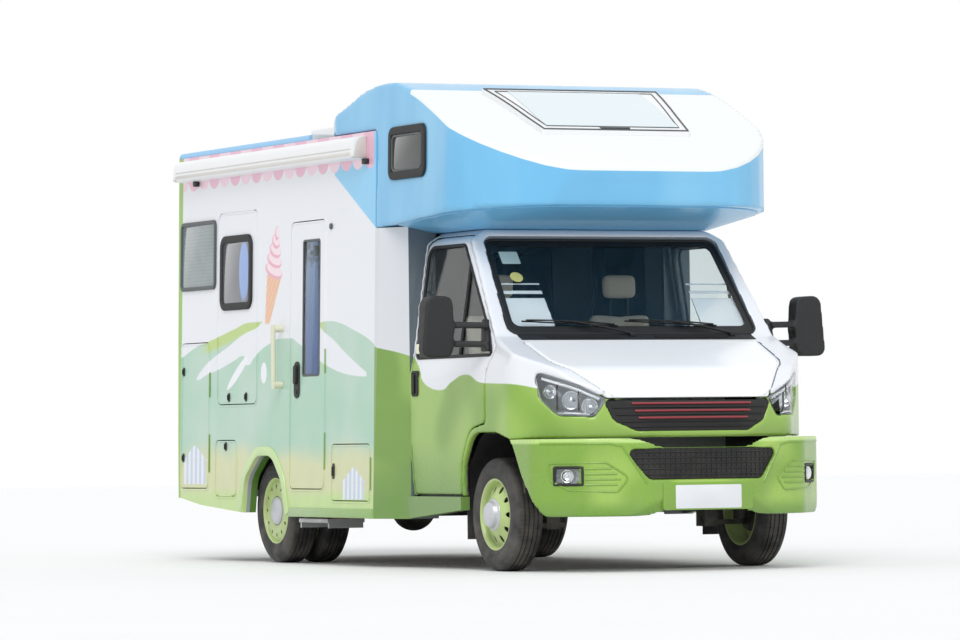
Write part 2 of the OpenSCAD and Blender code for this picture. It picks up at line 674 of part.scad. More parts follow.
// Cross-bearers under the box floor: x
bearers = [box_rear + 220, box_rear + 800, well_rows[0] - 95, well_rows[2] + 60, box_front - 120];
module chassis_frame() {
    color("dimgray") union() {
        for (s = [-1, 1]) block([box_rear + 100, s * rail_y - rail_w / 2, rail_low],
                                [fa + 700, s * rail_y + rail_w / 2, rail_top]);
        for (x = bearers) block([x, -inner_half + 60, rail_top - 10],
        [x + 60, inner_half - 320, floor_low]);
        for (x = [box_rear + 400, ra - 250, ra + 420, fa - 800, fa + 640])
            block([x, -rail_y, rail_low + 30], [x + 70, rail_y, rail_top - 30]);
    }
}

engine_half = 370;
module engine_block() {
    color("gray") block([firewall_x + 60, -engine_half, rail_top + 0.3], [fa + 560, engine_half, 1090]);
}

wheel_z = tyre_r;
kingpin_y = 760;
kingpin_r = 26;
beam_half = kingpin_y - 45;
module front_axle() {
    color("dimgray") union() {
        block([fa - 60, -beam_half + 60, 400], [fa + 60, beam_half - 60, 470]);
        for (s = [-1, 1]) {
            for (z = [wheel_z - 85, wheel_z + 55]) hull() {
                translate([fa, s * kingpin_y, z]) cylinder(r = 38, h = 30);
                translate([fa - 60, s * 520 - 40, z]) cube([120, 80, 30]);
            }
            block([fa - 60, s * 540 - 60, 250], [fa + 60, s * 540 + 30, rail_low]);
            translate([fa, s * kingpin_y, wheel_z - 85]) cylinder(r = kingpin_r, h = 170);
            block([fa - 40, s * rail_y - 30, 440], [fa + 40, s * rail_y + 30, rail_low]);
        }
    }
}

spindle_r = 32;
running_fit = 0.05;
module knuckle(s) {
    translate([fa, s * kingpin_y, wheel_z]) union() {
        difference() {
            union() {
                translate([0, 0, -53]) cylinder(r = 46, h = 106);
                block([-45, s > 0 ? 20 : -70, -45], [45, s > 0 ? 70 : -20, 45]);
            }
            translate([0, 0, -100]) cylinder(r = kingpin_r + running_fit, h = 200);
        }
        bar_y(0, 0, spindle_r, s > 0 ? 40 : -front_track_half + kingpin_y - 60,
              s > 0 ? front_track_half - kingpin_y + 60 : -40);
        bar_y(0, 0, 130, s > 0 ? 62 : -82, s > 0 ? 82 : -62);
    }
}
module knuckle_left() { color("dimgray") knuckle(1); }
module knuckle_right() { color("dimgray") knuckle(-1); }

// Half section of a tyre about its axle: radius, offset from the middle plane, corner radius
module tyre(y) {
    translate([0, y, wheel_z]) rotate([90, 0, 0]) rotate_extrude($fn = 96)
        polygon(smooth([[rim_r + seat_gap, -tyre_w / 2 + 18, 0], [rim_r + 40, -tyre_w / 2, 20],
                        [tyre_r - 60, -tyre_w / 2, 60], [tyre_r, -tyre_w / 2 + 30, 26],
                        [tyre_r, tyre_w / 2 - 30, 26], [tyre_r - 60, tyre_w / 2, 60],
                        [rim_r + 40, tyre_w / 2, 20], [rim_r + seat_gap, tyre_w / 2 - 18, 0]], 4));
}
module front_tyre_left() { color("black") translate([fa, 0, 0]) tyre(front_track_half); }
module front_tyre_right() { color("black") translate([fa, 0, 0]) tyre(-front_track_half); }

rim_w = 158;
rim_t = 14;
// Rim with a disc: disc_at is the disc's offset towards the outside of the truck, hub_out its hub face
module rim(y, s, disc_at, hub_r, hub_out) {
    translate([0, y, wheel_z]) rotate([s > 0 ? -90 : 90, 0, 0]) rotate_extrude($fn = 96)
        polygon([[rim_r, -rim_w / 2], [rim_r, rim_w / 2], [rim_r - rim_t, rim_w / 2],
                 [rim_r - rim_t - 12, disc_at + 10], [hub_r, hub_out], [spindle_r + running_fit, hub_out],
                 [spindle_r + running_fit, hub_out - rim_t - 20], [hub_r, hub_out - rim_t - 20],
                 [rim_r - rim_t - 12, disc_at - 10], [rim_r - rim_t, -rim_w / 2]]);
}
module front_rim(s) {
    union() {
        translate([fa, 0, 0]) rim(s * front_track_half, s, 50, 95, 75);
        translate([fa, s * (front_track_half + 62), wheel_z]) rotate([s > 0 ? -90 : 90, 0, 0])
            cylinder(r1 = 95, r2 = 70, h = 80);
    }
}
module front_rim_left() { color("yellowgreen") front_rim(1); }
module front_rim_right() { color("yellowgreen") front_rim(-1); }

module rear_tyres(s) {
    translate([ra, 0, 0]) { tyre(s * twin_outer_y); tyre(s * (twin_outer_y - twin_spacing)); }
}
module rear_tyres_left() { color("black") rear_tyres(1); }
module rear_tyres_right() { color("black") rear_tyres(-1); }

module rear_rims(s) {
    translate([ra, 0, 0]) union() {
        rim(s * twin_outer_y, s, -rim_w / 2 + 30, 120, -twin_spacing / 2 + 28);
        rim(s * (twin_outer_y - twin_spacing), -s, -rim_w / 2 + 30, 120, -twin_spacing / 2 + 28);
        translate([0, s * (twin_outer_y - twin_spacing / 2 + 20), wheel_z]) rotate([s > 0 ? -90 : 90, 0, 0])
            cylinder(r1 = 120, r2 = 85, h = twin_spacing / 2 + 75);
    }
}
module rear_rims_left() { color("yellowgreen") rear_rims(1); }
module rear_rims_right() { color("yellowgreen") rear_rims(-1); }

spring_y = 470;
// Half lengths of the axle tube and of the stubs that carry the twin wheels
tube_half = twin_outer_y - twin_spacing - tyre_w / 2 - 30;
stub_half = twin_outer_y - twin_spacing / 2 + 15;
rail_side = rail_y + rail_w / 2 + seat_gap;
module rear_axle() {
    color("dimgray") union() {
        bar_y(ra, wheel_z, 55, -tube_half, tube_half);
        bar_y(ra, wheel_z, spindle_r, -stub_half, stub_half);
        translate([ra, 0, wheel_z]) sphere(r = 150);
        for (s = [-1, 1]) {
            across(s * spring_y - 32, s * spring_y + 32) polygon([
                [ra - 640, 510], [ra - 640, 485], [ra - 120, 385], [ra + 120, 385], [ra + 640, 485],
                [ra + 640, 510], [ra + 120, 440], [ra - 120, 440]]);
            for (x = [ra - 640, ra + 600])
                block([x, s > 0 ? rail_side : -spring_y, rail_low - 15],
                      [x + 40, s > 0 ? spring_y : -rail_side, rail_low + 50]);
        }
    }
}

module fuel_tank() {
    color("black") block([fa - 1000, rail_side, 420], [fa - 480, 800, 640]);
}

// Liners of the wheel arches and the flaps behind the wheels
liner_t = 6;
front_liner = [[fa - 395.5, 480, 0], [fa + 420, 480, 0], [fa + 345, 800, 60], [fa + 150, 842, 200],
               [fa - 200, 842, 170], [fa - 395.5, 640, 90]];
rear_liner = [[ra - 420, 480, 0], [ra + 420, 480, 0], [ra + 420, 620, 100], [ra + 300, 732, 100],
              [ra - 300, 732, 100], [ra - 420, 620, 100]];
module liner(rows, y0, y1) {
    difference() {
        across(y0, y1) polygon(smooth(rows));
        across(y0 - 1, y1 - liner_t) polygon(smooth(concat(
            [[rows[0].x + liner_t, 400, 0], [rows[1].x - liner_t, 400, 0]],
            [for (i = [2:len(rows) - 1]) grow(rows, -liner_t)[i]])));
    }
}
module wheel_housings() {
    color("black") both_sides() {
        liner(front_liner, -cab_half_w + panel_t + 45, -rail_side - 0.1);
        liner(rear_liner, -half_w(600) + lip_depth + 2, -535);
        block([fa - 406, -920, 190], [fa - 396, -700, 600]);
    }
}

// ---------- doors, hatches and fittings of the box ----------
// Hinge tubes on the outer face: upright at the forward edge of a panel, or level along it
hinge_r = 5.6;
module upright_hinge(rows) {
    zc = (rows[0].y + rows[2].y) / 2;
    h = rows[2].y - rows[0].y - 140;
    translate([rows[1].x, -half_w(zc), zc]) rotate([-atan(wall_lean), 0, 0])
        cylinder(r = hinge_r, h = h, center = true);
}
module level_hinge(rows, z) {
    translate([rows[0].x + 70, -half_w(z), z]) rotate([0, 90, 0])
        cylinder(r = hinge_r, h = rows[1].x - rows[0].x - 140);
}

module entry_door() {
    color("white") difference() {
        union() {
            wall_panel(entry_rows, 0, door_t);
            upright_hinge(entry_rows);
        }
        through_wall() polygon(smooth(entry_glass_rows));
    }
}
module entry_door_glass() { color("slategray") wall_panel(grow(entry_glass_rows, -0.3), 6, 26); }

module service_hatch() {
    color("white") difference() {
        union() {
            wall_panel(hatch_rows, 0, door_t);
            level_hinge(hatch_rows, hatch_low + hatch_h);
        }
        through_wall() polygon(smooth(hatch_glass_rows));
    }
}
module hatch_window() { color("black") framed_pane(hatch_glass_rows); }
module rear_locker_door() {
    color("palegreen") union() {
        wall_panel(locker_rows, 0, door_t);
        upright_hinge(locker_rows);
    }
}
module service_flap() {
    color("palegreen") union() {
        wall_panel(flap_rows, 0, door_t);
        level_hinge(flap_rows, flap_rows[0].y);
    }
}
module front_locker_door() {
    color("palegreen") union() {
        wall_panel(front_locker_rows, 0, door_t);
        upright_hinge(front_locker_rows);
    }
}

module framed_pane(rows) {
    difference() {
        wall_panel(grow(rows, frame_lap), -14, 36);
        difference() {
            wall_panel(grow(rows, 60), -0.3, 60);
            through_wall() polygon(smooth(grow(rows, -0.3)));
        }
    }
}
module box_windows() {
    color("darkslategray") {
        framed_pane(rear_window_rows);
        for (rows = left_window_rows) mirror([0, 1, 0]) framed_pane(rows);
        both_sides() framed_pane(alcove_window_rows);
        along(box_rear + 8, box_rear + 30) polygon(smooth(grow(
            panel(rear_window[0], rear_window[1], rear_window[2], rear_window[3], 60), -seat_gap)));
    }
}

awning_rear = box_rear + 110;
awning_front = box_front - 155;
awning_low = 2588;
module awning_case() {
    color("white") intersection() {
        along(awning_rear, awning_front) polygon(smooth([[-half_w(awning_low) - 92, awning_low + 12, 25],
            [-half_w(awning_low) - 0.3, awning_low, 3], [-half_w(2735) - 0.3, 2735, 3],
            [-half_w(2735) - 78, 2735, 45]]));
    }
}

// Handrail beside the entry door: two feet and a bowed grip
grab_x = entry_front - entry_w - 150;
foot_r = 24;
module grab_handle() {
    color("white") union() {
        for (z = [1175, 1545]) translate([grab_x, -half_w(z) - seat_gap - foot_r * wall_lean, z])
            rotate([90, 0, 0]) cylinder(r = foot_r, h = 62);
        translate([grab_x, -half_w(1360) - 62, 1150]) cylinder(r = 16, h = 420);
    }
}

step_w = 480;
step_x = entry_front - entry_w / 2 - 30;
step_y = -half_w(sill_ref_z) + 60;
step_z = 240;
module entry_step() {
    color("silver") union() {
        block([step_x - step_w / 2, step_y, step_z + 35], [step_x + step_w / 2, step_y + 260, step_z + 60]);
        for (x = [step_x - step_w / 2, step_x + step_w / 2 - 20])
            block([x, step_y + 10, step_z], [x + 20, step_y + 250, step_z + 36]);
    }
}

module tail_lamps() {
    color("red") both_sides() along(box_rear - 22, box_rear - 0.3)
        polygon(smooth(panel(-half_w(900) + 70, 640, -half_w(900) + 210, 1060, 40)));
}

module rear_bumper() {
    color("silver") union() {
        upward(430, 530) polygon(smooth([[tail_x, -900, 20], [box_rear - seat_gap, -940, 0],
            [box_rear - seat_gap, 940, 0], [tail_x, 900, 20]]));
    }
}

chassis_frame();
engine_block();
front_axle();
knuckle_left();
knuckle_right();
front_rim_left();
front_rim_right();
front_tyre_left();
front_tyre_right();
rear_axle();
rear_rims_left();
rear_rims_right();
rear_tyres_left();
rear_tyres_right();
fuel_tank();
box_floor();
right_wall();
left_wall();
rear_wall();
roof();
box_cheeks();
alcove();
alcove_underside();
skylight();
roof_units();
cab_shell();
cab_floor();
dashboard();
seats();
bonnet();
windscreen();
front_bumper();
grilles();
front_lamps();
cab_door_left();
cab_door_right();
door_glass_left();
door_glass_right();
mirror_left();
mirror_right();
wheel_housings();
entry_door();
entry_door_glass();
service_hatch();
hatch_window();
rear_locker_door();
service_flap();
front_locker_door();
box_windows();
awning_case();
grab_handle();
entry_step();
tail_lamps();
rear_bumper();
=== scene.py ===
# %% [markdown]
# # A motorhome-bodied ice cream truck
# The truck's solids come in as a fixed frame. This lesson dresses them: smooth moulded skins for the cab
# and the alcove, painted scenery on the box, lamps, grilles, wheels, glass, seats and small fittings.
# Every place is worked out from the frame, so each piece sits where the solids say.

# %% Frame and sizes
import math

import bpy
from mathutils import Matrix, Vector
from mathutils.bvhtree import BVHTree


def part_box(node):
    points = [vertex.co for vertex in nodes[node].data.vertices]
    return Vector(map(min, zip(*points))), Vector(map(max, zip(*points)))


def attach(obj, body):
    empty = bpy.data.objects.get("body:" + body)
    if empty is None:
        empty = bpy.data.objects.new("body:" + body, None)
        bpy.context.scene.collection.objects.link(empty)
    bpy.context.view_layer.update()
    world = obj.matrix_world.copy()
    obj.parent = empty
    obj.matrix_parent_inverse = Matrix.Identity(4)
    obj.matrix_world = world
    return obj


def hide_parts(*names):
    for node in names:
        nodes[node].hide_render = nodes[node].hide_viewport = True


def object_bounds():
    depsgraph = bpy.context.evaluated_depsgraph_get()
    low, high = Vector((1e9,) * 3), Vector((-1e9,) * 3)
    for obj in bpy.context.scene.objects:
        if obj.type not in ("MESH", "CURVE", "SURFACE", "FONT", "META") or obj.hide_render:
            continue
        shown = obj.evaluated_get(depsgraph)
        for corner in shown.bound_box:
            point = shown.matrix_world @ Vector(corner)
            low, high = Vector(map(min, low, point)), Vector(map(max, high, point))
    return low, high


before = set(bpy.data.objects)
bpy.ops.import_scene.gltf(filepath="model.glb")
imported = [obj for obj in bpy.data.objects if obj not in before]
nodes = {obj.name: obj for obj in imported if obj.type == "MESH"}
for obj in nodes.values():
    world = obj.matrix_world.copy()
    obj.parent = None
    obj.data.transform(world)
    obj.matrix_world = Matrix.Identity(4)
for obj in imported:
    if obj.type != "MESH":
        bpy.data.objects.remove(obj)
cad_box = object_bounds()
axle_x = sum(c.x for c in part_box("front_rim_right")) / 2
wheel_z = sum(c.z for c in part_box("front_rim_right")) / 2
rear_axle_x = sum(c.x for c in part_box("rear_rims_right")) / 2
box_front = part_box("right_wall")[1].x
box_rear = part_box("rear_wall")[0].x
cab_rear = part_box("cab_shell")[0].x
front_x = cad_box[1].x
sill_ref, sill_half, lean = 0.400, 1.125, 0.021
print("front axle", round(axle_x, 3), "rear axle", round(rear_axle_x, 3), "box", round(box_rear, 3),
      round(box_front, 3))


def half_w(z):
    """Half width of the leaning box walls at a height."""
    return sill_half - lean * (z - sill_ref)


# %% [markdown]
# ## Camera
# The view is a long lens from the front right, level with the lamps, so the long side is strongly
# foreshortened. A camera's axes are its matrix columns: right, up, and backwards.

# %% Camera
yaw, pitch, roll = math.radians(155.337), math.radians(1.331), math.radians(-0.682)
ahead = Vector((math.cos(yaw) * math.cos(pitch), math.sin(yaw) * math.cos(pitch), math.sin(pitch)))
level_right = ahead.cross(Vector((0, 0, 1))).normalized()
level_up = level_right.cross(ahead)
right = level_right * math.cos(roll) + level_up * math.sin(roll)
up = level_up * math.cos(roll) - level_right * math.sin(roll)
bpy.ops.object.camera_add()
camera = bpy.context.object
pose = Matrix((right, up, -ahead)).transposed().to_4x4()
pose.translation = (axle_x + 28.652, -14.140, 0.803)
camera.matrix_world = pose
camera.data.sensor_width = 36
camera.data.lens = 194.7
camera.data.shift_x, camera.data.shift_y = -0.0032, -0.0014
camera.data.clip_end = 400
bpy.context.scene.camera = camera
bpy.context.scene.view_settings.view_transform = "Standard"


# %% [markdown]
# ## Helpers for shaping
# An operator acts on all that is selected, so each helper starts from nothing selected. A flat piece
# starts as a circle whose points are moved to the outline and then extruded; a round one is a section
# spun about its axle. Both end at the origin with their place in the mesh, as the solids have.

# %% Shaping helpers
def lone(piece=None):
    """Leaves object mode with only this piece selected."""
    if bpy.context.object and bpy.context.object.mode != "OBJECT":
        bpy.ops.object.mode_set(mode="OBJECT")
    bpy.ops.object.select_all(action="DESELECT")
    if piece is not None:
        piece.select_set(True)
        bpy.context.view_layer.objects.active = piece


def modify(piece, kind, **values):
    """Adds one modifier with these values and applies it."""
    lone(piece)
    modifier = piece.modifiers.new(kind.title(), kind)
    for key, value in values.items():
        setattr(modifier, key, value)
    bpy.ops.object.modifier_apply(modifier=modifier.name)
    return piece


def settle(piece, name, material, body, smooth=40):
    """Names and finishes a piece, puts its place in its mesh and lets it ride on a body."""
    lone(piece)
    bpy.ops.object.transform_apply(location=True, rotation=True, scale=True)
    piece.name = piece.data.name = name
    if smooth:
        bpy.ops.object.shade_smooth_by_angle(angle=math.radians(smooth))
    piece.data.materials.clear()
    piece.data.materials.append(material)
    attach(piece, body)
    return piece


def place(axis, a, b, c):
    """A point at c along the axis, with a and b across it."""
    return {"X": (c, a, b), "Y": (a, c, b), "Z": (a, b, c)}[axis]


def recalc(piece):
    """Merges doubled points and turns every face outwards."""
    lone(piece)
    bpy.ops.object.mode_set(mode="EDIT")
    bpy.ops.mesh.select_all(action="SELECT")
    bpy.ops.mesh.remove_doubles(threshold=0.00002)
    bpy.ops.mesh.normals_make_consistent(inside=False)
    bpy.ops.object.mode_set(mode="OBJECT")
    return piece


def plate(outline, axis, low, high, edge=0.0, steps=2):
    """Flat piece: the outline lies across the axis and is extruded from low to high."""
    lone()
    bpy.ops.mesh.primitive_circle_add(vertices=len(outline), fill_type="NGON")
    piece = bpy.context.object
    for vertex, (a, b) in zip(piece.data.vertices, outline):
        vertex.co = place(axis, a, b, low)
    bpy.ops.object.mode_set(mode="EDIT")
    bpy.ops.mesh.select_all(action="SELECT")
    run = Vector(place(axis, 0, 0, high - low))
    bpy.ops.mesh.extrude_region_move(TRANSFORM_OT_translate={"value": run})
    recalc(piece)
    if edge:
        modify(piece, "BEVEL", width=edge, segments=steps, limit_method="ANGLE", angle_limit=0.6)
    return piece


def block(low, high, edge=0.004, steps=2):
    """Box between two corners with rounded edges."""
    lone()
    low, high = Vector(low), Vector(high)
    bpy.ops.mesh.primitive_cube_add(size=1, location=(low + high) / 2, scale=high - low)
    piece = bpy.context.object
    bpy.ops.object.transform_apply(location=True, rotation=True, scale=True)
    if edge:
        modify(piece, "BEVEL", width=edge, segments=steps)
    return piece


def turned(section, centre, axis="Y", steps=64):
    """Ring or disc: each row of the closed section is radius and offset along the axis."""
    lone()
    bpy.ops.mesh.primitive_circle_add(vertices=len(section), fill_type="NOTHING")
    piece = bpy.context.object
    for vertex, (radius, offset) in zip(piece.data.vertices, section):
        vertex.co = Vector(centre) + Vector(place(axis, radius, 0, offset))
    bpy.ops.object.mode_set(mode="EDIT")
    bpy.ops.mesh.select_all(action="SELECT")
    bpy.ops.mesh.spin(steps=steps, angle=math.tau, center=centre, axis=place(axis, 0, 0, 1))
    return recalc(piece)


def rod(points, radius, closed=False, sides=3):
    """Round bar along points."""
    lone()
    curve = bpy.data.curves.new("rod", "CURVE")
    curve.dimensions = "3D"
    curve.bevel_depth, curve.bevel_resolution, curve.use_fill_caps = radius, sides, True
    spline = curve.splines.new("POLY")
    spline.points.add(len(points) - 1)
    for knot, point in zip(spline.points, points):
        knot.co = (*point, 1)
    spline.use_cyclic_u = closed
    piece = bpy.data.objects.new("rod", curve)
    bpy.context.scene.collection.objects.link(piece)
    lone(piece)
    bpy.ops.object.convert(target="MESH")
    return recalc(bpy.context.object)


def joined(pieces):
    """One mesh out of several."""
    lone(pieces[0])
    for piece in pieces:
        piece.select_set(True)
    bpy.ops.object.join()
    return bpy.context.object


def copied(node):
    """A merged copy of a CAD node's mesh, free to be reshaped."""
    lone()
    piece = bpy.data.objects.new(node, nodes[node].data.copy())
    bpy.context.scene.collection.objects.link(piece)
    lone(piece)
    bpy.ops.object.mode_set(mode="EDIT")
    bpy.ops.mesh.select_all(action="SELECT")
    bpy.ops.mesh.remove_doubles(threshold=0.0001)
    bpy.ops.object.mode_set(mode="OBJECT")
    return piece


def moulded(node, voxel, rounds):
    """A copy remeshed to even cells and relaxed, so that its creases become soft moulded edges."""
    piece = copied(node)
    modify(piece, "REMESH", mode="VOXEL", voxel_size=voxel, adaptivity=0)
    modify(piece, "SMOOTH", factor=0.5, iterations=rounds)
    return piece


def oval(a, b, ra, rb, n=24, power=1.0):
    """Points round an ellipse, or round a softened rectangle when power is under one."""
    def bow(value):
        return math.copysign(abs(value) ** power, value)
    return [(a + ra * bow(math.cos(math.tau * i / n)), b + rb * bow(math.sin(math.tau * i / n)))
            for i in range(n)]


def rounded(a0, b0, a1, b1, r, n=5):
    """Rectangle with round corners, anticlockwise."""
    arcs = [(a1 - r, b0 + r, -90), (a1 - r, b1 - r, 0), (a0 + r, b1 - r, 90), (a0 + r, b0 + r, 180)]
    return [(a + r * math.cos(math.radians(start + 90 * i / n)),
             b + r * math.sin(math.radians(start + 90 * i / n)))
            for a, b, start in arcs for i in range(n + 1)]


skin_trees = {}


def skin(node, origin, direction):
    """Where a ray first meets a CAD node, or None."""
    if node not in skin_trees:
        mesh = nodes[node].data
        skin_trees[node] = BVHTree.FromPolygons([v.co for v in mesh.vertices],
                                                [p.vertices for p in mesh.polygons])
    return skin_trees[node].ray_cast(Vector(origin), Vector(direction))[0]


# %% [markdown]
# ## Helpers for finishes
# A finish is a small tree of shader nodes. The wrapper below keeps each recipe short: a value or a
# socket can go into any input. Curves turn a distance along the wall into the height of a painted hill.

# %% Finish helpers
class Recipe:
    def __init__(self, tree):
        self.tree = tree

    def add(self, kind, inputs=(), **settings):
        node = self.tree.nodes.new(kind)
        for key, value in settings.items():
            setattr(node, key, value)
        for key, value in dict(inputs).items():
            if isinstance(value, bpy.types.NodeSocket):
                self.tree.links.new(value, node.inputs[key])
            else:
                node.inputs[key].default_value = value
        return node

    def math(self, operation, a, b=0.0, clamp=False):
        return self.add("ShaderNodeMath", {0: a, 1: b}, operation=operation, use_clamp=clamp).outputs[0]

    def mix(self, factor, a, b, blend="MIX"):
        return self.add("ShaderNodeMix", {0: factor, 6: a, 7: b}, data_type="RGBA",
                        blend_type=blend).outputs[2]

    def noise(self, place, scale, detail=3.0, roughness=0.5):
        return self.add("ShaderNodeTexNoise", {"Vector": place, "Scale": scale, "Detail": detail,
                                               "Roughness": roughness}).outputs["Fac"]

    def ramp(self, value, low, high):
        """0 below low, 1 above high, smooth between."""
        return self.add("ShaderNodeMapRange", {"Value": value, "From Min": low, "From Max": high},
                        interpolation_type="SMOOTHSTEP").outputs[0]

    def curve(self, value, span, heights, points):
        """Height of a line drawn through points over the span."""
        scaled = self.add("ShaderNodeMapRange",
                          {"Value": value, "From Min": span[0], "From Max": span[1]}).outputs[0]
        node = self.add("ShaderNodeFloatCurve", {"Value": scaled})
        line = node.mapping.curves[0]
        rows = sorted(((a - span[0]) / (span[1] - span[0]), (b - heights[0]) / (heights[1] - heights[0]))
                      for a, b in points)
        for _ in range(len(rows) - 2):
            line.points.new(0.5, 0.5)
        for point, row in zip(line.points, rows):
            point.location = row
            point.handle_type = "AUTO_CLAMPED"
        node.mapping.update()
        return self.add("ShaderNodeMapRange", {"Value": node.outputs[0], "To Min": heights[0],
                                               "To Max": heights[1]}).outputs[0]

    def below(self, value, limit, soft=0.004):
        """1 where the value is under the limit."""
        gap = self.math("SUBTRACT", limit, value)
        return self.ramp(gap, -soft, soft)

    def both(self, *masks):
        result = masks[0]
        for mask in masks[1:]:
            result = self.math("MULTIPLY", result, mask)
        return result

    def either(self, *masks):
        result = masks[0]
        for mask in masks[1:]:
            result = self.math("MAXIMUM", result, mask)
        return result

    def blob(self, x, z, centre, radii, turn=0.0, soft=0.05):
        """1 inside a turned ellipse."""
        c, s = math.cos(math.radians(turn)), math.sin(math.radians(turn))
        dx, dz = self.math("SUBTRACT", x, centre[0]), self.math("SUBTRACT", z, centre[1])
        a = self.math("DIVIDE", self.math("ADD", self.math("MULTIPLY", dx, c),
                                          self.math("MULTIPLY", dz, s)), radii[0])
        b = self.math("DIVIDE", self.math("SUBTRACT", self.math("MULTIPLY", dz, c),
                                          self.math("MULTIPLY", dx, s)), radii[1])
        return self.below(self.math("SQRT",
                                    self.math("ADD", self.math("MULTIPLY", a, a),
                                              self.math("MULTIPLY", b, b))), 1.0, soft)


def group(name, inputs, outputs):
    """An empty shader group with named sockets; returns it with its recipe and end nodes."""
    tree = bpy.data.node_groups.new(name, "ShaderNodeTree")
    for direction, rows in (("INPUT", inputs), ("OUTPUT", outputs)):
        for label, kind, value in rows:
            socket = tree.interface.new_socket(label, in_out=direction, socket_type="NodeSocket" + kind)
            if value is not None:
                socket.default_value = value
    recipe = Recipe(tree)
    return tree, recipe, recipe.add("NodeGroupInput"), recipe.add("NodeGroupOutput")


# %% [markdown]
# ## Weathering
# A truck's paint is never one flat colour. It has a faint mottle, road film that thickens towards the
# sills, and a skin with a slight ripple. One group adds all three, and each finish sets its own amounts.

# %% Weathering group
weather, w, w_in, w_out = group(
    "Weathering",
    [("Color", "Color", (0.8, 0.8, 0.8, 1)), ("Mottle", "Float", 0.06), ("Film", "Float", 0.15),
     ("Roughness", "Float", 0.3), ("Spread", "Float", 0.1), ("Grain Scale", "Float", 60.0), ("Grain",
                                                                                             "Float", 0.02)],
    [("Color", "Color", None), ("Roughness", "Float", None), ("Normal", "Vector", None)])
spot = w.add("ShaderNodeTexCoord").outputs["Object"]
height = w.add("ShaderNodeSeparateXYZ", {0: spot}).outputs[2]
broad = w.noise(spot, 2.3, 4)
fine = w.noise(spot, 31.0, 3)
shade = w.math("ADD", 1.0, w.math("MULTIPLY", w.math("SUBTRACT", broad, 0.5), w_in.outputs["Mottle"]))
tone = w.add("ShaderNodeHueSaturation", {"Color": w_in.outputs["Color"], "Value": shade}).outputs[0]
low_down = w.math("SUBTRACT", 1.0, w.ramp(height, 0.15, 1.1))
film = w.math("MULTIPLY", w.math("MULTIPLY", low_down, w.ramp(w.noise(spot, 7.0, 5), 0.3, 0.75)),
              w_in.outputs["Film"])
w.tree.links.new(w.mix(film, tone, (0.33, 0.3, 0.25, 1)), w_out.inputs["Color"])
scatter = w.math("MULTIPLY", w.math("SUBTRACT", fine, 0.45), w_in.outputs["Spread"])
w.tree.links.new(w.math("ADD", w.math("ADD", w_in.outputs["Roughness"], scatter),
                        w.math("MULTIPLY", film, 0.5), True),
                 w_out.inputs["Roughness"])
grain = w.add("ShaderNodeTexNoise", {"Vector": spot, "Scale": w_in.outputs["Grain Scale"], "Detail": 2.0})
bump = w.add("ShaderNodeBump", {"Height": grain.outputs["Fac"], "Strength": w_in.outputs["Grain"],
                                "Distance": 0.01})
w.tree.links.new(bump.outputs[0], w_out.inputs["Normal"])


def finish(name, color, rough=0.3, spread=0.1, mottle=0.06, film=0.15, grain=0.02, scale=60.0, **sockets):
    """A weathered material; color is a value or a function that draws one in the material's tree."""
    material = bpy.data.materials.new(name)
    material.use_nodes = True
    recipe = Recipe(material.node_tree)
    shader = material.node_tree.nodes["Principled BSDF"]
    source = color(recipe) if callable(color) else (*color, 1)
    wear = recipe.add("ShaderNodeGroup", {}, node_tree=weather)
    for key, value in (("Color", source), ("Mottle", mottle), ("Film", film), ("Roughness", rough),
                       ("Spread", spread), ("Grain Scale", scale), ("Grain", grain)):
        if isinstance(value, bpy.types.NodeSocket):
            recipe.tree.links.new(value, wear.inputs[key])
        else:
            wear.inputs[key].default_value = value
    recipe.tree.links.new(wear.outputs["Color"], shader.inputs["Base Color"])
    recipe.tree.links.new(wear.outputs["Roughness"], shader.inputs["Roughness"])
    recipe.tree.links.new(wear.outputs["Normal"], shader.inputs["Normal"])
    for key, value in sockets.items():
        shader.inputs[key.replace("_", " ").title().replace("Ior", "IOR")].default_value = value
    return material


def srgb(code):
    """Scene-linear colour from a hex code."""
    parts = [int(code[i:i + 2], 16) / 255 for i in (0, 2, 4)]
    return tuple(p / 12.92 if p <= 0.04045 else ((p + 0.055) / 1.055) ** 2.4 for p in parts)


white, lime = srgb("E9EBF0"), srgb("7BA536")
print("palette ready")

# %% [markdown]
# ## The painted scenery
# The box sides carry painted hills under a white sky, with melted streaks running down them. Three
# curves hold the drawing: the tops of the hills, and the upper and lower edges of the white streaks.
# Distances run backwards from the box's front corner, so both sides share one drawing.

# %% Scenery group
hill_top = [(3.46, 1.36), (3.36, 1.38), (3.04, 1.46), (2.76, 1.50), (2.38, 1.56), (2.08, 1.60), (1.88, 1.60),
            (1.84, 1.58), (0.93, 1.56), (0.88, 1.57), (0.73, 1.575), (0.57, 1.56), (0.34, 1.51), (0.14, 1.46),
            (-0.05, 1.39)]
streak_top = [(3.46, 1.15), (3.11, 1.15), (3.06, 1.23), (3.01, 1.27), (2.83, 1.35), (2.50, 1.44),
              (2.17, 1.53),
              (1.98, 1.56), (1.88, 1.595), (1.83, 1.61), (0.93, 1.61), (0.88, 1.54), (0.82, 1.51), (0.68,
                                                                                                    1.46),
              (0.45, 1.36), (0.22, 1.27), (0.12, 1.23), (0.10, 1.15), (-0.05, 1.15)]
streak_low = [(3.46, 1.23), (3.06, 1.23), (2.88, 1.26), (2.62, 1.30), (2.37, 1.35), (2.20, 1.38),
              (2.17, 1.33),
              (2.14, 1.315), (2.02, 1.36), (1.87, 1.42), (1.75, 1.45), (1.58, 1.48), (1.39, 1.48), (1.27,
                                                                                                    1.45),
              (1.17, 1.42), (0.88, 1.32), (0.73, 1.28), (0.45, 1.23), (0.12, 1.21), (-0.05, 1.21)]
span, heights = (-0.05, 3.46), (1.1, 1.7)

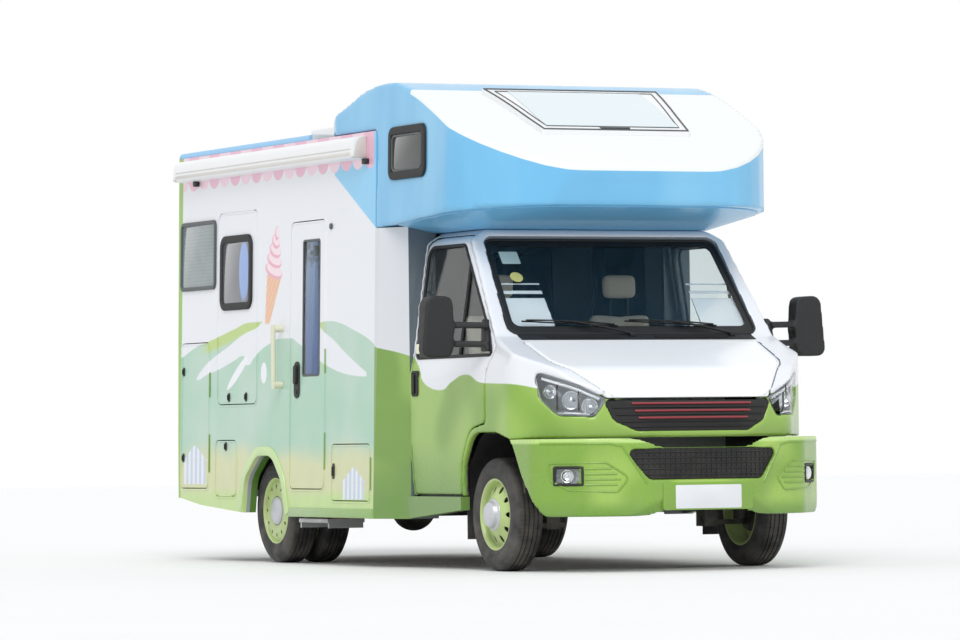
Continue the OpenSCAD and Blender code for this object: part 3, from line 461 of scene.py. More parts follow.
scenery, s, s_in, s_out = group("Scenery", [("Back", "Float", 0.0), ("Height", "Float", 0.0)],
                                [("Color", "Color", None)])
back, rise = s_in.outputs["Back"], s_in.outputs["Height"]
top = s.curve(back, span, heights, hill_top)
upper = s.curve(back, span, heights, streak_top)
lower = s.curve(back, span, heights, streak_low)
hills = s.either(s.both(s.below(rise, top), s.below(upper, rise)), s.below(rise, lower))
wash = s.noise(s.add("ShaderNodeCombineXYZ", {0: s.math("MULTIPLY", back, 1.0), 2: rise}).outputs[0], 1.6, 2)
mint_wash = s.mix(s.ramp(wash, 0.35, 0.7), (*srgb("A6CDB6"), 1), (*srgb("B9D3C4"), 1))
# lime light along the back hill's crest, and low bright grass
crest = s.both(s.below(s.math("SUBTRACT", top, rise), 0.075, 0.02), s.below(1.6, back, 0.2),
               s.below(back, 2.9, 0.12))
shoulder = s.both(s.below(s.math("ABSOLUTE", s.math("SUBTRACT", back, 0.86)), 0.05, 0.03),
                  s.below(1.3, rise, 0.1))
pasture = s.mix(s.either(crest, s.math("MULTIPLY", shoulder, 0.8)), mint_wash, (*srgb("B8D077"), 1))
edge_height = s.math("ADD", 0.74, s.math("MULTIPLY", s.math("SUBTRACT", wash, 0.5), 0.3))
pasture = s.mix(s.below(rise, edge_height, 0.09), pasture, (*srgb("D2D6A6"), 1))
pasture = s.mix(s.below(rise, 0.47, 0.05), pasture, (*srgb("C0DC8E"), 1))
picture = s.mix(hills, (*white, 1), pasture)
drips = s.either(s.blob(back, rise, (2.30, 1.27), (0.22, 0.033), -30),
                 s.blob(back, rise, (1.84, 1.26), (0.05, 0.07)))
picture = s.mix(drips, picture, (*srgb("EEF0F5"), 1))
# blue corner, pink scallops
blue_edge = s.math("ADD", 2.15, s.math("MULTIPLY", back, 0.545))
blue_corner = s.both(s.below(blue_edge, rise), s.below(back, 0.66))
picture = s.mix(blue_corner, picture, (*srgb("84CBF0"), 1))
pitch_length = 0.19
wave = s.math("ABSOLUTE", s.math("SUBTRACT", s.math("FRACT", s.math("DIVIDE", back, pitch_length)), 0.5))
drop = s.math("SQRT", s.math("SUBTRACT", 0.2501, s.math("MULTIPLY", wave, wave)))
scallops = s.both(s.below(s.math("SUBTRACT", 2.605, s.math("MULTIPLY", drop, 0.155)), rise),
                  s.below(0.03, back, 0.01))
band = s.math("PINGPONG", s.math("DIVIDE", back, pitch_length), 1.0)
tint = s.math("FLOOR", s.math("MODULO", s.math("DIVIDE", back, pitch_length), 2.0))
picture = s.mix(scallops, picture, s.mix(tint, (*srgb("EBB6CB"), 1), (*srgb("F3D3DF"), 1)))
# a plain cone with a swirl
cone_x, cone_z = 1.68, 1.60
lift = s.math("DIVIDE", s.math("SUBTRACT", rise, cone_z), 0.31)
middle = s.math("SUBTRACT", 1.78, s.math("MULTIPLY", lift, 0.115))
girth = s.math("ADD", 0.045, s.math("MULTIPLY", lift, 0.085))
wafer = s.both(s.below(s.math("ABSOLUTE", s.math("SUBTRACT", back, middle)), girth),
               s.below(cone_z - 0.015, rise, 0.012), s.below(rise, cone_z + 0.31))
hatch = s.math("FRACT", s.math("MULTIPLY", s.math("ADD", back, rise), 16.0))
wafer_color = s.mix(s.below(hatch, 0.14, 0.05), (*srgb("EDBC98"), 1), (*srgb("DFA57E"), 1))
picture = s.mix(wafer, picture, wafer_color)
for i, (dx, dz, wide) in enumerate([(0.0, 0.33, 0.150), (-0.01, 0.40, 0.128), (-0.022, 0.465, 0.100),
                                    (-0.036, 0.525, 0.070),
                                    (-0.052, 0.578, 0.036)]):
    shadow = s.blob(back, rise, (cone_x + dx, cone_z + dz), (wide, 0.048), 12)
    curl = s.blob(back, rise, (cone_x + dx - 0.01, cone_z + dz + 0.008), (wide * 0.9, 0.036), 12, 0.12)
    picture = s.mix(shadow, picture, (*srgb("E9A9BC"), 1))
    picture = s.mix(curl, picture, (*srgb("F6DEE6"), 1))
# small striped tents
for left, floor_z, width, wall_h, roof_h in ((2.87, 0.52, 0.40, 0.16, 0.11), (0.15, 0.43, 0.34, 0.11, 0.10)):
    across = s.math("SUBTRACT", back, left + width / 2)
    spread = s.math("ABSOLUTE", across)
    wall = s.both(s.below(spread, width / 2), s.below(floor_z, rise), s.below(rise, floor_z + wall_h))
    slope = s.math("DIVIDE", s.math("SUBTRACT", floor_z + wall_h + roof_h, rise), roof_h)
    roof_mask = s.both(s.below(spread, s.math("MULTIPLY", slope, width * 0.56)),
                       s.below(floor_z + wall_h, rise))
    stripe = s.below(s.math("FRACT", s.math("DIVIDE", across, width / 5)), 0.5, 0.05)
    cloth = s.mix(stripe, (*srgb("C3CFEA"), 1), (*srgb("E8EEF7"), 1))
    picture = s.mix(s.math("MULTIPLY", s.either(wall, roof_mask), 0.9), picture, cloth)
s.tree.links.new(picture, s_out.inputs["Color"])


def side_picture(recipe):
    """Scenery on the long sides."""
    spot = recipe.add("ShaderNodeTexCoord").outputs["Object"]
    parts = recipe.add("ShaderNodeSeparateXYZ", {0: spot}).outputs
    back = recipe.math("SUBTRACT", box_front, parts[0])
    outside = scenery_color(recipe, back, parts[2])
    wall_at = recipe.math("SUBTRACT", sill_half + lean * sill_ref, recipe.math("MULTIPLY", parts[2], lean))
    depth = recipe.math("SUBTRACT", wall_at, recipe.math("ABSOLUTE", parts[1]))
    inside = recipe.mix(recipe.both(recipe.below(0.050, depth, 0.001), recipe.below(parts[2], 0.80)),
                        (*srgb("9AA2A8"), 1), (*srgb("4E7A22"), 1))
    return recipe.mix(recipe.below(0.024, depth, 0.001), outside, inside)


def scenery_color(recipe, back, rise):
    node = recipe.add("ShaderNodeGroup", {}, node_tree=scenery)
    recipe.tree.links.new(back, node.inputs["Back"])
    recipe.tree.links.new(rise, node.inputs["Height"])
    return node.outputs[0]


def inner_side(recipe, centre):
    """1 on faces that look towards the centre."""
    coordinates = recipe.add("ShaderNodeTexCoord").outputs
    out = recipe.add("ShaderNodeVectorMath", {0: coordinates["Object"], 1: centre},
                     operation="SUBTRACT").outputs[0]
    facing = recipe.add("ShaderNodeVectorMath", {0: coordinates["Normal"], 1: out},
                        operation="DOT_PRODUCT").outputs["Value"]
    return recipe.below(facing, 0.0, 0.001)


def rear_picture(recipe):
    """Hills across the rear wall between lime corner posts."""
    spot = recipe.add("ShaderNodeTexCoord").outputs["Object"]
    parts = recipe.add("ShaderNodeSeparateXYZ", {0: spot}).outputs
    color = scenery_color(recipe, recipe.math("ADD", parts[1], 1.9), parts[2])
    post = recipe.below(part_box("rear_wall")[1].y - 0.14, recipe.math("ABSOLUTE", parts[1]))
    color = recipe.mix(post, color, (*srgb("8CBA45"), 1))
    return recipe.mix(inner_side(recipe, (box_rear + 1.5, 0, 1.5)), color, (*srgb("9AA2A8"), 1))


# %% [markdown]
# ## Cab and alcove paint
# The cab is white above and lime below, with a dipping line between. The alcove is sky blue on its
# sides, and white on top from the crest forwards; the height of the hump over each place tells which.

# %% Cab and alcove colours
cab_line = [(-1.40, 1.40), (-1.10, 1.33), (-0.97, 1.26), (-0.82, 1.14), (-0.62, 1.11), (-0.45, 1.16),
            (-0.25, 1.20),
            (-0.05, 1.15), (0.15, 1.14), (0.40, 1.13), (0.55, 1.10), (0.80, 1.06), (1.05, 1.02)]


def cab_paint(recipe):
    """White over lime, with a paler lime patch behind the wheel as a painted reflection and darker lime low
    down as painted shade.
    """
    spot = recipe.add("ShaderNodeTexCoord").outputs["Object"]
    parts = recipe.add("ShaderNodeSeparateXYZ", {0: spot}).outputs
    ahead_of_axle = recipe.math("SUBTRACT", parts[0], axle_x)
    line = recipe.curve(ahead_of_axle, (-1.4, 1.05), (0.9, 1.5), cab_line)
    patch = recipe.noise(spot, 1.7, 1)
    # paler lime patches from noise: painted reflections on the glossy lime
    green = recipe.mix(recipe.ramp(patch, 0.42, 0.6), (*lime, 1), (*srgb("97BC52"), 1))
    # darker lime towards the bottom, below about 0.62 m: painted shade low on the cab
    green = recipe.mix(recipe.below(parts[2], 0.62, 0.25), green, (*srgb("6F9C30"), 1))
    outside = recipe.mix(recipe.below(parts[2], line), (*white, 1), green)
    return recipe.mix(inner_side(recipe, (axle_x - 0.4, 0, 1.2)), outside, (*srgb("6A747C"), 1))


def cheek_paint(recipe):
    """The cab's colours a little deeper, for panels that stand in the alcove's shade."""
    return recipe.mix(0.2, cab_paint(recipe), (*srgb("5B666C"), 1))


crest_x = axle_x - 0.86
hump = [(-2.49, 2.80), (-2.19, 2.87), (-1.89, 2.94), (-1.59, 3.02), (-1.34, 3.0475), (-1.19, 3.05),
        (-1.04, 3.0325),
        (-0.80, 2.965), (-0.55, 2.865), (-0.30, 2.75), (-0.08, 2.65), (0.12, 2.548), (0.27, 2.455)]


def alcove_paint(recipe):
    """Sky blue with a white top ahead of the crest."""
    spot = recipe.add("ShaderNodeTexCoord").outputs["Object"]
    parts = recipe.add("ShaderNodeSeparateXYZ", {0: spot}).outputs
    crown = recipe.curve(recipe.math("SUBTRACT", parts[0], axle_x), (-2.49, 0.27), (2.3, 3.1), hump)
    on_top = recipe.both(recipe.below(recipe.math("SUBTRACT", crown, 0.028), parts[2], 0.003),
                         recipe.below(crest_x, parts[0], 0.003))
    stretched = recipe.add("ShaderNodeMapping", {"Vector": spot, "Scale": (2.5, 2.5, 0.7)}).outputs[0]
    streaks = recipe.noise(stretched, 1.0, 2)
    blue = recipe.mix(recipe.ramp(streaks, 0.3, 0.75), (*srgb("6BB8E4"), 1), (*srgb("82C6EC"), 1))
    outside = recipe.mix(on_top, blue, (*srgb("EEF3F2"), 1))
    return recipe.mix(inner_side(recipe, (axle_x - 0.9, 0, 2.5)), outside, (*srgb("8C949A"), 1))


def bumper_paint(recipe):
    """Lime with paler, yellower patches as painted reflections, a bright upper lip as a painted highlight,
    and darker lime low down as painted shade.
    """
    spot = recipe.add("ShaderNodeTexCoord").outputs["Object"]
    rise = recipe.add("ShaderNodeSeparateXYZ", {0: spot}).outputs[2]
    # paler, yellower patches: painted reflections
    patch = recipe.ramp(recipe.noise(spot, 2.2, 1), 0.45, 0.65)
    green = recipe.mix(patch, (*lime, 1), (*srgb("9CC052"), 1))
    # darker lime below about 0.40 m: painted shade on the bumper's lower face
    green = recipe.mix(recipe.below(rise, 0.40, 0.05), green, (*srgb("6D9A30"), 1))
    # bright band above 0.772 m: a painted highlight on the upper lip
    return recipe.mix(recipe.below(0.772, rise, 0.008), green, (*srgb("B9D97E"), 1))


def roof_paint(recipe):
    """White roof with a sky blue edge."""
    spot = recipe.add("ShaderNodeTexCoord").outputs["Object"]
    across = recipe.math("ABSOLUTE", recipe.add("ShaderNodeSeparateXYZ", {0: spot}).outputs[1])
    return recipe.mix(recipe.below(half_w(2.8) - 0.028, across), (*srgb("E4E8EC"), 1), (*srgb("8FC4EA"), 1))


# %% [markdown]
# ## The list of finishes
# Each finish takes a name, a colour or a painted picture, a roughness and its spread, and the strength of
# mottling, road film and grain. Paint gets a clear coat; rubber and plastic get a coarser grain instead.

# %% Material list
gloss = dict(coat_weight=0.35, coat_roughness=0.08)
side_mat = finish("painted scenery", side_picture, 0.3, 0.1, 0.03, 0.12, 0.012, 45, **gloss)
rear_mat = finish("painted rear", rear_picture, 0.3, 0.1, 0.03, 0.2, 0.012, 45, **gloss)
cab_mat = finish("white over lime paint", cab_paint, 0.24, 0.08, 0.03, 0.12, 0.008, 50, **gloss)
alcove_mat = finish("sky blue gelcoat", alcove_paint, 0.24, 0.08, 0.05, 0.0, 0.01, 30, **gloss)
# The underside's blue sits at the darker end of the sides' streaked blue: painted shade under the alcove.
under_mat = finish("blue gelcoat with painted shade", srgb("6DB6E2"), 0.35, 0.1, 0.08, 0.0, 0.015, 30, **gloss)
# The bonnet's white is brighter than the cab's white: a painted highlight on its lit top.
bonnet_mat = finish("bonnet white with painted highlight", srgb("FAFBFC"), 0.22, 0.08, 0.03, 0.05, 0.008, 50, **gloss)
lime_mat = finish("lime paint", lime, 0.26, 0.08, 0.08, 0.15, 0.008, 50, **gloss)
bumper_mat = finish("lime paint with painted sheen and shade", bumper_paint, 0.26, 0.08, 0.03, 0.15, 0.008, 50, **gloss)
roof_mat = finish("white roof skin", roof_paint, 0.4, 0.15, 0.08, 0.0, 0.02, 30)
cheek_mat = finish("cheek paint", cheek_paint, 0.3, 0.08, 0.05, 0.15, 0.008, 50, **gloss)
moulding_mat = finish("white moulding", srgb("F0F1F2"), 0.38, 0.1, 0.03, 0.02, 0.02, 90)
grip_mat = finish("ivory grip", srgb("DAD9C2"), 0.4, 0.1, 0.05, 0.05, 0.02, 90)
black_mat = finish("grained black plastic", srgb("1B1C1E"), 0.55, 0.2, 0.2, 0.15, 0.25, 500)
satin_black_mat = finish("satin black", srgb("0A0B0C"), 0.5, 0.1, 0.1, 0.1, 0.05, 300)
rubber_mat = finish("window rubber", srgb("17181A"), 0.6, 0.1, 0.2, 0.1, 0.1, 400)
tyre_mat = finish("tyre rubber", srgb("161719"), 0.72, 0.25, 0.3, 0.35, 0.3, 160)
chassis_mat = finish("chassis black", srgb("1E1F20"), 0.6, 0.3, 0.3, 0.5, 0.3, 80)
engine_mat = finish("cast alloy", srgb("7C7F80"), 0.5, 0.2, 0.25, 0.3, 0.35, 60, metallic=1.0)
floor_mat = finish("sealed plywood", srgb("8A6B49"), 0.55, 0.2, 0.25, 0.1, 0.15, 20)
acrylic_mat = finish("dark tinted acrylic", srgb("23282A"), 0.08, 0.04, 0.2, 0.0, 0.004, 20, coat_weight=0.5)
fabric_mat = finish("beige upholstery", srgb("D8CDB9"), 0.85, 0.1, 0.15, 0.0, 0.5, 900, sheen_weight=0.3)
chrome_mat = finish("polished reflector", srgb("E4E6E8"), 0.1, 0.05, 0.1, 0.0, 0.02, 60, metallic=1.0)
alloy_mat = finish("ribbed alloy", srgb("B9BCBE"), 0.4, 0.2, 0.15, 0.3, 0.2, 120, metallic=1.0)
red_mat = finish("red lens", srgb("B5161A"), 0.15, 0.05, 0.2, 0.05, 0.1, 150, coat_weight=0.6)
bar_mat = finish("dark red bar", srgb("8E2A33"), 0.3, 0.1, 0.2, 0.05, 0.02, 60, coat_weight=0.4)
rim_mat = finish("lime rim enamel", srgb("B9CF84"), 0.35, 0.15, 0.15, 0.4, 0.03, 60, **gloss)
plate_mat = finish("blank number plate", srgb("E3E6EA"), 0.4, 0.1, 0.05, 0.1, 0.03, 90)
strip_mat = finish("green hinge strip", srgb("6C9E2C"), 0.35, 0.1, 0.1, 0.2, 0.02, 60)
print(len(bpy.data.materials), "materials")


def glass(name, color, rough=0.02):
    """Clear or tinted pane: plain transmission with a faint waviness."""
    material = bpy.data.materials.new(name)
    material.use_nodes = True
    recipe = Recipe(material.node_tree)
    shader = material.node_tree.nodes["Principled BSDF"]
    shader.inputs["Transmission Weight"].default_value = 1.0
    shader.inputs["IOR"].default_value = 1.12
    shader.inputs["Coat Weight"].default_value = 0.6
    spot = recipe.add("ShaderNodeTexCoord").outputs["Object"]
    tint = recipe.mix(recipe.noise(spot, 1.5, 2), (*color, 1), (*[c * 0.9 for c in color], 1))
    recipe.tree.links.new(tint, shader.inputs["Base Color"])
    ripple = recipe.add("ShaderNodeBump", {"Height": recipe.noise(spot, 5.0, 1), "Strength": 0.02,
                                           "Distance": 0.01})
    recipe.tree.links.new(ripple.outputs[0], shader.inputs["Normal"])
    rough_map = recipe.math("ADD", rough, recipe.math("MULTIPLY", recipe.noise(spot, 40.0, 2), 0.02))
    recipe.tree.links.new(rough_map, shader.inputs["Roughness"])
    return material


screen_mat = glass("windscreen glass", (0.90, 0.95, 0.95))
lens_mat = glass("clear lens", (0.95, 0.97, 0.98))

# %% [markdown]
# ## Finishes for the solids that stay
# Most of the frame's solids already have the right shape, so they keep it and only get a finish.

# %% Dress the solids
dress = {
    side_mat: ["right_wall", "left_wall", "entry_door", "service_hatch", "rear_locker_door", "service_flap",
               "front_locker_door"],
    rear_mat: ["rear_wall"], roof_mat: ["roof"], cheek_mat: ["box_cheeks"],
    alcove_mat: ["alcove"], under_mat: ["alcove_underside"], moulding_mat: ["skylight", "roof_units",
                                                                            "awning_case", "rear_bumper"],
    cab_mat: ["cab_shell", "cab_door_left",
              "cab_door_right"], bonnet_mat: ["bonnet"], lime_mat: ["front_bumper"],
    black_mat: ["mirror_left", "mirror_right", "wheel_housings", "dashboard", "fuel_tank"],
    satin_black_mat: ["grilles", "cab_floor"], chassis_mat: ["chassis_frame", "front_axle", "knuckle_left",
                                                         "knuckle_right", "rear_axle"],
    engine_mat: ["engine_block"], floor_mat: ["box_floor"], acrylic_mat: ["box_windows", "hatch_window"],
    screen_mat: ["windscreen", "door_glass_left", "door_glass_right", "entry_door_glass"],
    fabric_mat: ["seats"], chrome_mat: ["front_lamps"], alloy_mat: ["entry_step"], red_mat: ["tail_lamps"],
    grip_mat: ["grab_handle"], tyre_mat: ["front_tyre_left", "front_tyre_right", "rear_tyres_left",
                                          "rear_tyres_right"],
    rim_mat: ["front_rim_left", "front_rim_right", "rear_rims_left", "rear_rims_right"]}
for material, names in dress.items():
    for name in names:
        slots = nodes[name].data.materials
        slots.clear()
        slots.append(material)
print(sum(len(v) for v in dress.values()), "solids dressed of", len(nodes))

# %% [markdown]
# ## Moulded skins
# The cab's pressings and the alcove have soft edges that crisp solids lack. Each is remeshed to even
# cells and relaxed: a crease spreads over a few cells and becomes a radius, as in a real pressing.

# %% Moulded cab and alcove
for node, voxel, rounds, material, body, slot in (
        ("cab_shell", 0.0115, 4, cab_mat, "truck", "green_paint"),
        ("bonnet", 0.0075, 5, bonnet_mat, "bonnet", "white_paint"),
        ("front_bumper", 0.0085, 6, bumper_mat, "truck", "green_paint"),
        ("cab_door_right", 0.0095, 4, cab_mat, "cab_door_right", "green_paint"),
        ("cab_door_left", 0.0095, 4, cab_mat, "cab_door_left", "green_paint"),
        ("alcove", 0.019, 4, alcove_mat, "truck", "blue_paint"),
        ("mirror_right", 0.008, 6, black_mat, "cab_door_right", "black_plastic"),
        ("mirror_left", 0.008, 6, black_mat, "cab_door_left", "black_plastic")):
    skin_piece = moulded(node, voxel, rounds)
    settle(skin_piece, node + "_skin", material, body, 80)
    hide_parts(node)
    print(node, len(skin_piece.data.polygons), "faces")

# %% [markdown]
# ## Outlines that follow the body
# Doors, lamps and arches are outlines with round corners, some grown by a lap or a seal. A flat plate made
# upright at the sill is then leaned onto the wall, as a fitter would lay it on. A piece on a curved panel
# is a grid whose points are dropped onto the panel along a ray.

# %% Outline helpers
def soft(rows, n=5):
    """Outline whose corners are rounded; each row is a, b, radius."""
    points = []
    for i, (a, b, radius) in enumerate(rows):
        corner = Vector((a, b))
        if not radius:
            points.append((a, b))
            continue
        before = (Vector(rows[i - 1][:2]) - corner).normalized()
        after = (Vector(rows[(i + 1) % len(rows)][:2]) - corner).normalized()
        half = before.angle(after) / 2
        centre = corner + (before + after).normalized() * radius / math.sin(half)
        start = corner + before * radius / math.tan(half) - centre
        stop = corner + after * radius / math.tan(half) - centre
        first = math.atan2(start.y, start.x)
        sweep = (math.atan2(stop.y, stop.x) - first + math.pi) % math.tau - math.pi
        angles = [first + sweep * k / n for k in range(n + 1)]
        points += [(centre.x + radius * math.cos(t), centre.y + radius * math.sin(t)) for t in angles]
    return points


def grown(outline, d):
    """Outline moved outwards by d; its points run anticlockwise."""
    result = []
    for i, (a, b) in enumerate(outline):
        run = (Vector(outline[(i + 1) % len(outline)]) - Vector(outline[i - 1])).normalized()
        result.append((a + run.y * d, b - run.x * d))
    return result


def ring(outer, inner, axis, low, high, edge=0.003):
    """Frame between two outlines with equally many points."""
    loops = []
    for outline in (outer, inner):
        lone()
        bpy.ops.mesh.primitive_circle_add(vertices=len(outline), fill_type="NOTHING")
        loops.append(bpy.context.object)
        for vertex, (a, b) in zip(loops[-1].data.vertices, outline):
            vertex.co = place(axis, a, b, low)
    piece = joined(loops)
    bpy.ops.object.mode_set(mode="EDIT")
    bpy.ops.mesh.select_all(action="SELECT")
    bpy.ops.mesh.bridge_edge_loops()
    bpy.ops.mesh.select_all(action="SELECT")
    bpy.ops.mesh.extrude_region_move(TRANSFORM_OT_translate={"value": Vector(place(axis, 0, 0, high - low))})
    recalc(piece)
    if edge:
        modify(piece, "BEVEL", width=edge, segments=2, limit_method="ANGLE", angle_limit=0.9)
    return piece


def leaned(piece, side=-1):
    """Leans a piece made upright at the sill onto the wall of that side."""
    lone(piece)
    pivot = Matrix.Translation((0, side * sill_half, sill_ref))
    piece.matrix_world = pivot @ Matrix.Rotation(side * math.atan(lean), 4, "X") @ pivot.inverted()
    bpy.ops.object.transform_apply(location=True, rotation=True, scale=True)
    return piece


def on_wall(outline, out, deep, side=-1, edge=0.003):
    """Plate on a side wall, from out in front of its face to deep behind it."""
    return leaned(plate(outline, "Y", side * (sill_half + out), side * (sill_half - deep), edge), side)


def wall_ring(outer, inner, out, deep, side=-1, edge=0.003):
    """Frame on a side wall."""
    return leaned(ring(outer, inner, "Y", side * (sill_half + out), side * (sill_half - deep), edge), side)


def traced(node, points, direction, lift=0.0):
    """Points dropped onto a node along a direction, then lifted back by a distance."""
    run = Vector(direction)
    hits = [skin(node, point, run) for point in points]
    return [hit - run * lift for hit in hits if hit is not None]


def draped(node, low, high, cells, direction, lift, thick):
    """Grid dropped onto a node's skin and given a thickness; low and high are its corners before the drop."""
    lone()
    bpy.ops.mesh.primitive_grid_add(x_subdivisions=cells[0], y_subdivisions=cells[1], size=1)
    piece = bpy.context.object
    run, size = Vector(direction), Vector(high) - Vector(low)
    flat = [i for i in range(3) if abs(run[i]) < 0.5]
    for vertex in piece.data.vertices:
        start = Vector(low)
        start[flat[0]] += size[flat[0]] * (vertex.co.x + 0.5)
        start[flat[1]] += size[flat[1]] * (vertex.co.y + 0.5)
        hit = skin(node, start, run)
        vertex.co = (hit if hit is not None else start) - run * lift
    recalc(piece)
    modify(piece, "SOLIDIFY", thickness=thick, offset=0)
    modify(piece, "BEVEL", width=min(0.002, thick * 0.3), segments=2, limit_method="ANGLE", angle_limit=0.9)
    return piece


def mirrored(piece):
    """A copy on the other side of the truck, with its faces turned outwards again."""
    lone(piece)
    bpy.ops.object.duplicate()
    twin = bpy.context.object
    twin.scale.y = -1
    bpy.ops.object.transform_apply(location=True, rotation=True, scale=True)
    return recalc(twin)


def both_sides(piece, name, material, body, smooth=40):
    """Settles a piece made on the right and its copy on the left."""
    twin = mirrored(piece)
    right_body, left_body = (body + "_right", body + "_left") if body != "truck" else ("truck", "truck")
    return [settle(piece, name + "_right", material, right_body, smooth),
            settle(twin, name + "_left", material, left_body, smooth)]


# %% [markdown]
# ## Tyres
# Each tyre is one section spun about its axle: a round shoulder, a bulged wall with two thin ribs, and
# four grooves cut into the tread. The small cross cuts on the tread are near-black colour, painted shade in
# the cuts, because there are hundreds.

# %% Tyres
tyre_low, tyre_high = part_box("front_tyre_right")
tyre_r = (tyre_high.z - tyre_low.z) / 2
tyre_w = tyre_high.y - tyre_low.y
rim_r = (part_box("front_rim_right")[1].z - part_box("front_rim_right")[0].z) / 2
front_y = abs(tyre_low.y + tyre_high.y) / 2
twin_low, twin_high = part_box("rear_tyres_right")
twin_y = (abs(twin_low.y) - tyre_w / 2, abs(twin_high.y) + tyre_w / 2)


def tyre_section(radius, width, bore):
    """Right half from the bead to the tread, then its mirror image."""
    w = width / 2
    half = [(bore, -w + 0.020), (bore + 0.012, -w + 0.011), (bore + 0.030, -w + 0.0035),
            (bore + 0.034, -w + 0.0055),
            (bore + 0.048, -w + 0.001), (bore + 0.066, -w), (bore + 0.080, -w + 0.003), (bore + 0.083,
                                                                                         -w + 0.001),
            (bore + 0.095, -w + 0.006), (bore + 0.110, -w + 0.014), (radius - 0.009, -w + 0.023),
            (radius - 0.003, -w + 0.032), (radius - 0.0008, -w + 0.042)]
    for at in (-w + 0.050, -0.020):
        half += [(radius, at), (radius - 0.008, at + 0.0015), (radius - 0.008, at + 0.0065),
                 (radius, at + 0.008)]
    half[-1] = (radius, -0.012)
    return half + [(r, -y) for r, y in reversed(half)] + [(bore + 0.02, w - 0.03), (bore + 0.02, -w + 0.03)]


def tread_color(x_centre):
    """Dark rubber, a little browner on the tread, with near-black cross cuts on it as painted shade."""
    def draw(recipe):
        spot = recipe.add("ShaderNodeTexCoord").outputs["Object"]
        parts = recipe.add("ShaderNodeSeparateXYZ", {0: spot}).outputs
        dx, dz = recipe.math("SUBTRACT", parts[0], x_centre), recipe.math("SUBTRACT", parts[2], wheel_z)
        radius = recipe.math("SQRT", recipe.math("ADD", recipe.math("MULTIPLY", dx, dx),
                                                 recipe.math("MULTIPLY", dz, dz)))
        turn = recipe.math("ARCTAN2", dz, dx)
        cuts = recipe.below(recipe.math("SINE", recipe.math("MULTIPLY", turn, 84.0)), -0.75, 0.1)
        on_tread = recipe.below(tyre_r - 0.012, radius, 0.003)
        rubber = recipe.mix(on_tread, (*srgb("2B2C2F"), 1), (*srgb("1E1F20"), 1))
        # near-black cross cuts on the tread: painted shade inside the cuts
        return recipe.mix(recipe.both(cuts, on_tread), rubber, (*srgb("0E0E0F"), 1))
    return draw


front_tyre_mat = finish("front tyre rubber", tread_color(axle_x), 0.7, 0.2, 0.3, 0.3, 0.2, 160)
rear_tyre_mat = finish("rear tyre rubber", tread_color(rear_axle_x), 0.7, 0.2, 0.3, 0.3, 0.2, 160)
section = tyre_section(tyre_r, tyre_w, rim_r - 0.004)
tyre = turned(section, (axle_x, -front_y, wheel_z), steps=96)
for piece, node in zip(both_sides(tyre, "tyre_front", front_tyre_mat, "front_wheel", 35),
                       ("front_tyre_right", "front_tyre_left")):
    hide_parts(node)
twins = joined([turned(section, (rear_axle_x, -y, wheel_z), steps=96) for y in twin_y])
for piece, node in zip(both_sides(twins, "tyres_rear", rear_tyre_mat, "rear_wheels", 35),
                       ("rear_tyres_right", "rear_tyres_left")):
    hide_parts(node)
print("tyres", round(tyre_r, 3), "m in radius, twins at", [round(y, 3) for y in twin_y])

# %% [markdown]
# ## Wheel rims
# A rim is a spun barrel with a lip, and a dish whose slots are cut by a ring of ovals. The front dish runs
# out to a tall hub cap; the rear one is flatter with more and smaller holes. The cap is a separate
# silver piece, as on a real wheel where it hides the nuts.

# %% Rims
def barrel(y):
    """Barrel of a rim with rolled lips."""
    w, r = 0.079, rim_r
    rows = [(r - 0.002, -w + 0.006), (r + 0.004, -w - 0.001), (r + 0.002, -w - 0.006),
            (r - 0.006, -w - 0.005),
            (r - 0.013, -w + 0.004), (r - 0.018, -w + 0.02), (r - 0.018, w - 0.02), (r - 0.013, w - 0.004),
            (r - 0.006, w + 0.005), (r + 0.002, w + 0.006), (r + 0.004, w + 0.001), (r - 0.002, w - 0.006)]
    return rows


def dish(x, y, rows, slots, slot_at, slot_size):
    """Dish spun from its outer line, 6 mm thick, with a ring of oval slots cut through it."""
    inside = [(r, offset + 0.006) for r, offset in reversed(rows)]
    piece = turned(rows + inside, (x, y, wheel_z), steps=96)
    cutters = []
    for i in range(slots):
        turn = math.tau * i / slots
        outline = [(slot_at + b * math.cos(math.tau * k / 20), a * math.sin(math.tau * k / 20))
                   for k in range(20) for a, b in [slot_size]]
        c, s = math.cos(turn), math.sin(turn)
        spun = [(x + r * c - t * s, wheel_z + r * s + t * c) for r, t in outline]
        cutters.append(plate(spun, "Y", y - 0.12, y + 0.12))
    cutter = joined(cutters)
    modify(piece, "BOOLEAN", object=cutter, operation="DIFFERENCE", solver="EXACT")
    bpy.data.objects.remove(cutter)
    modify(piece, "BEVEL", width=0.0016, segments=2, limit_method="ANGLE", angle_limit=0.7)
    return piece


def rim_set(x, ys, dish_rows, slots, slot_at, slot_size, cap_rows, prefix, body, names):
    """Barrels with a dish in the outer one, and a cap, for both sides of an axle."""
    outer = -ys[0]
    metal = [turned(barrel(outer), (x, y, wheel_z), steps=96) for y in [-v for v in ys]]
    metal.append(dish(x, outer, dish_rows, slots, slot_at, slot_size))
    rims = both_sides(joined(metal), prefix + "_rim", rim_mat, body, 30)
    for rim, node in zip(rims, names):
        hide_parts(node)
    both_sides(turned(cap_rows, (x, outer, wheel_z), steps=64), prefix + "_cap", silver_mat, body,
               25)


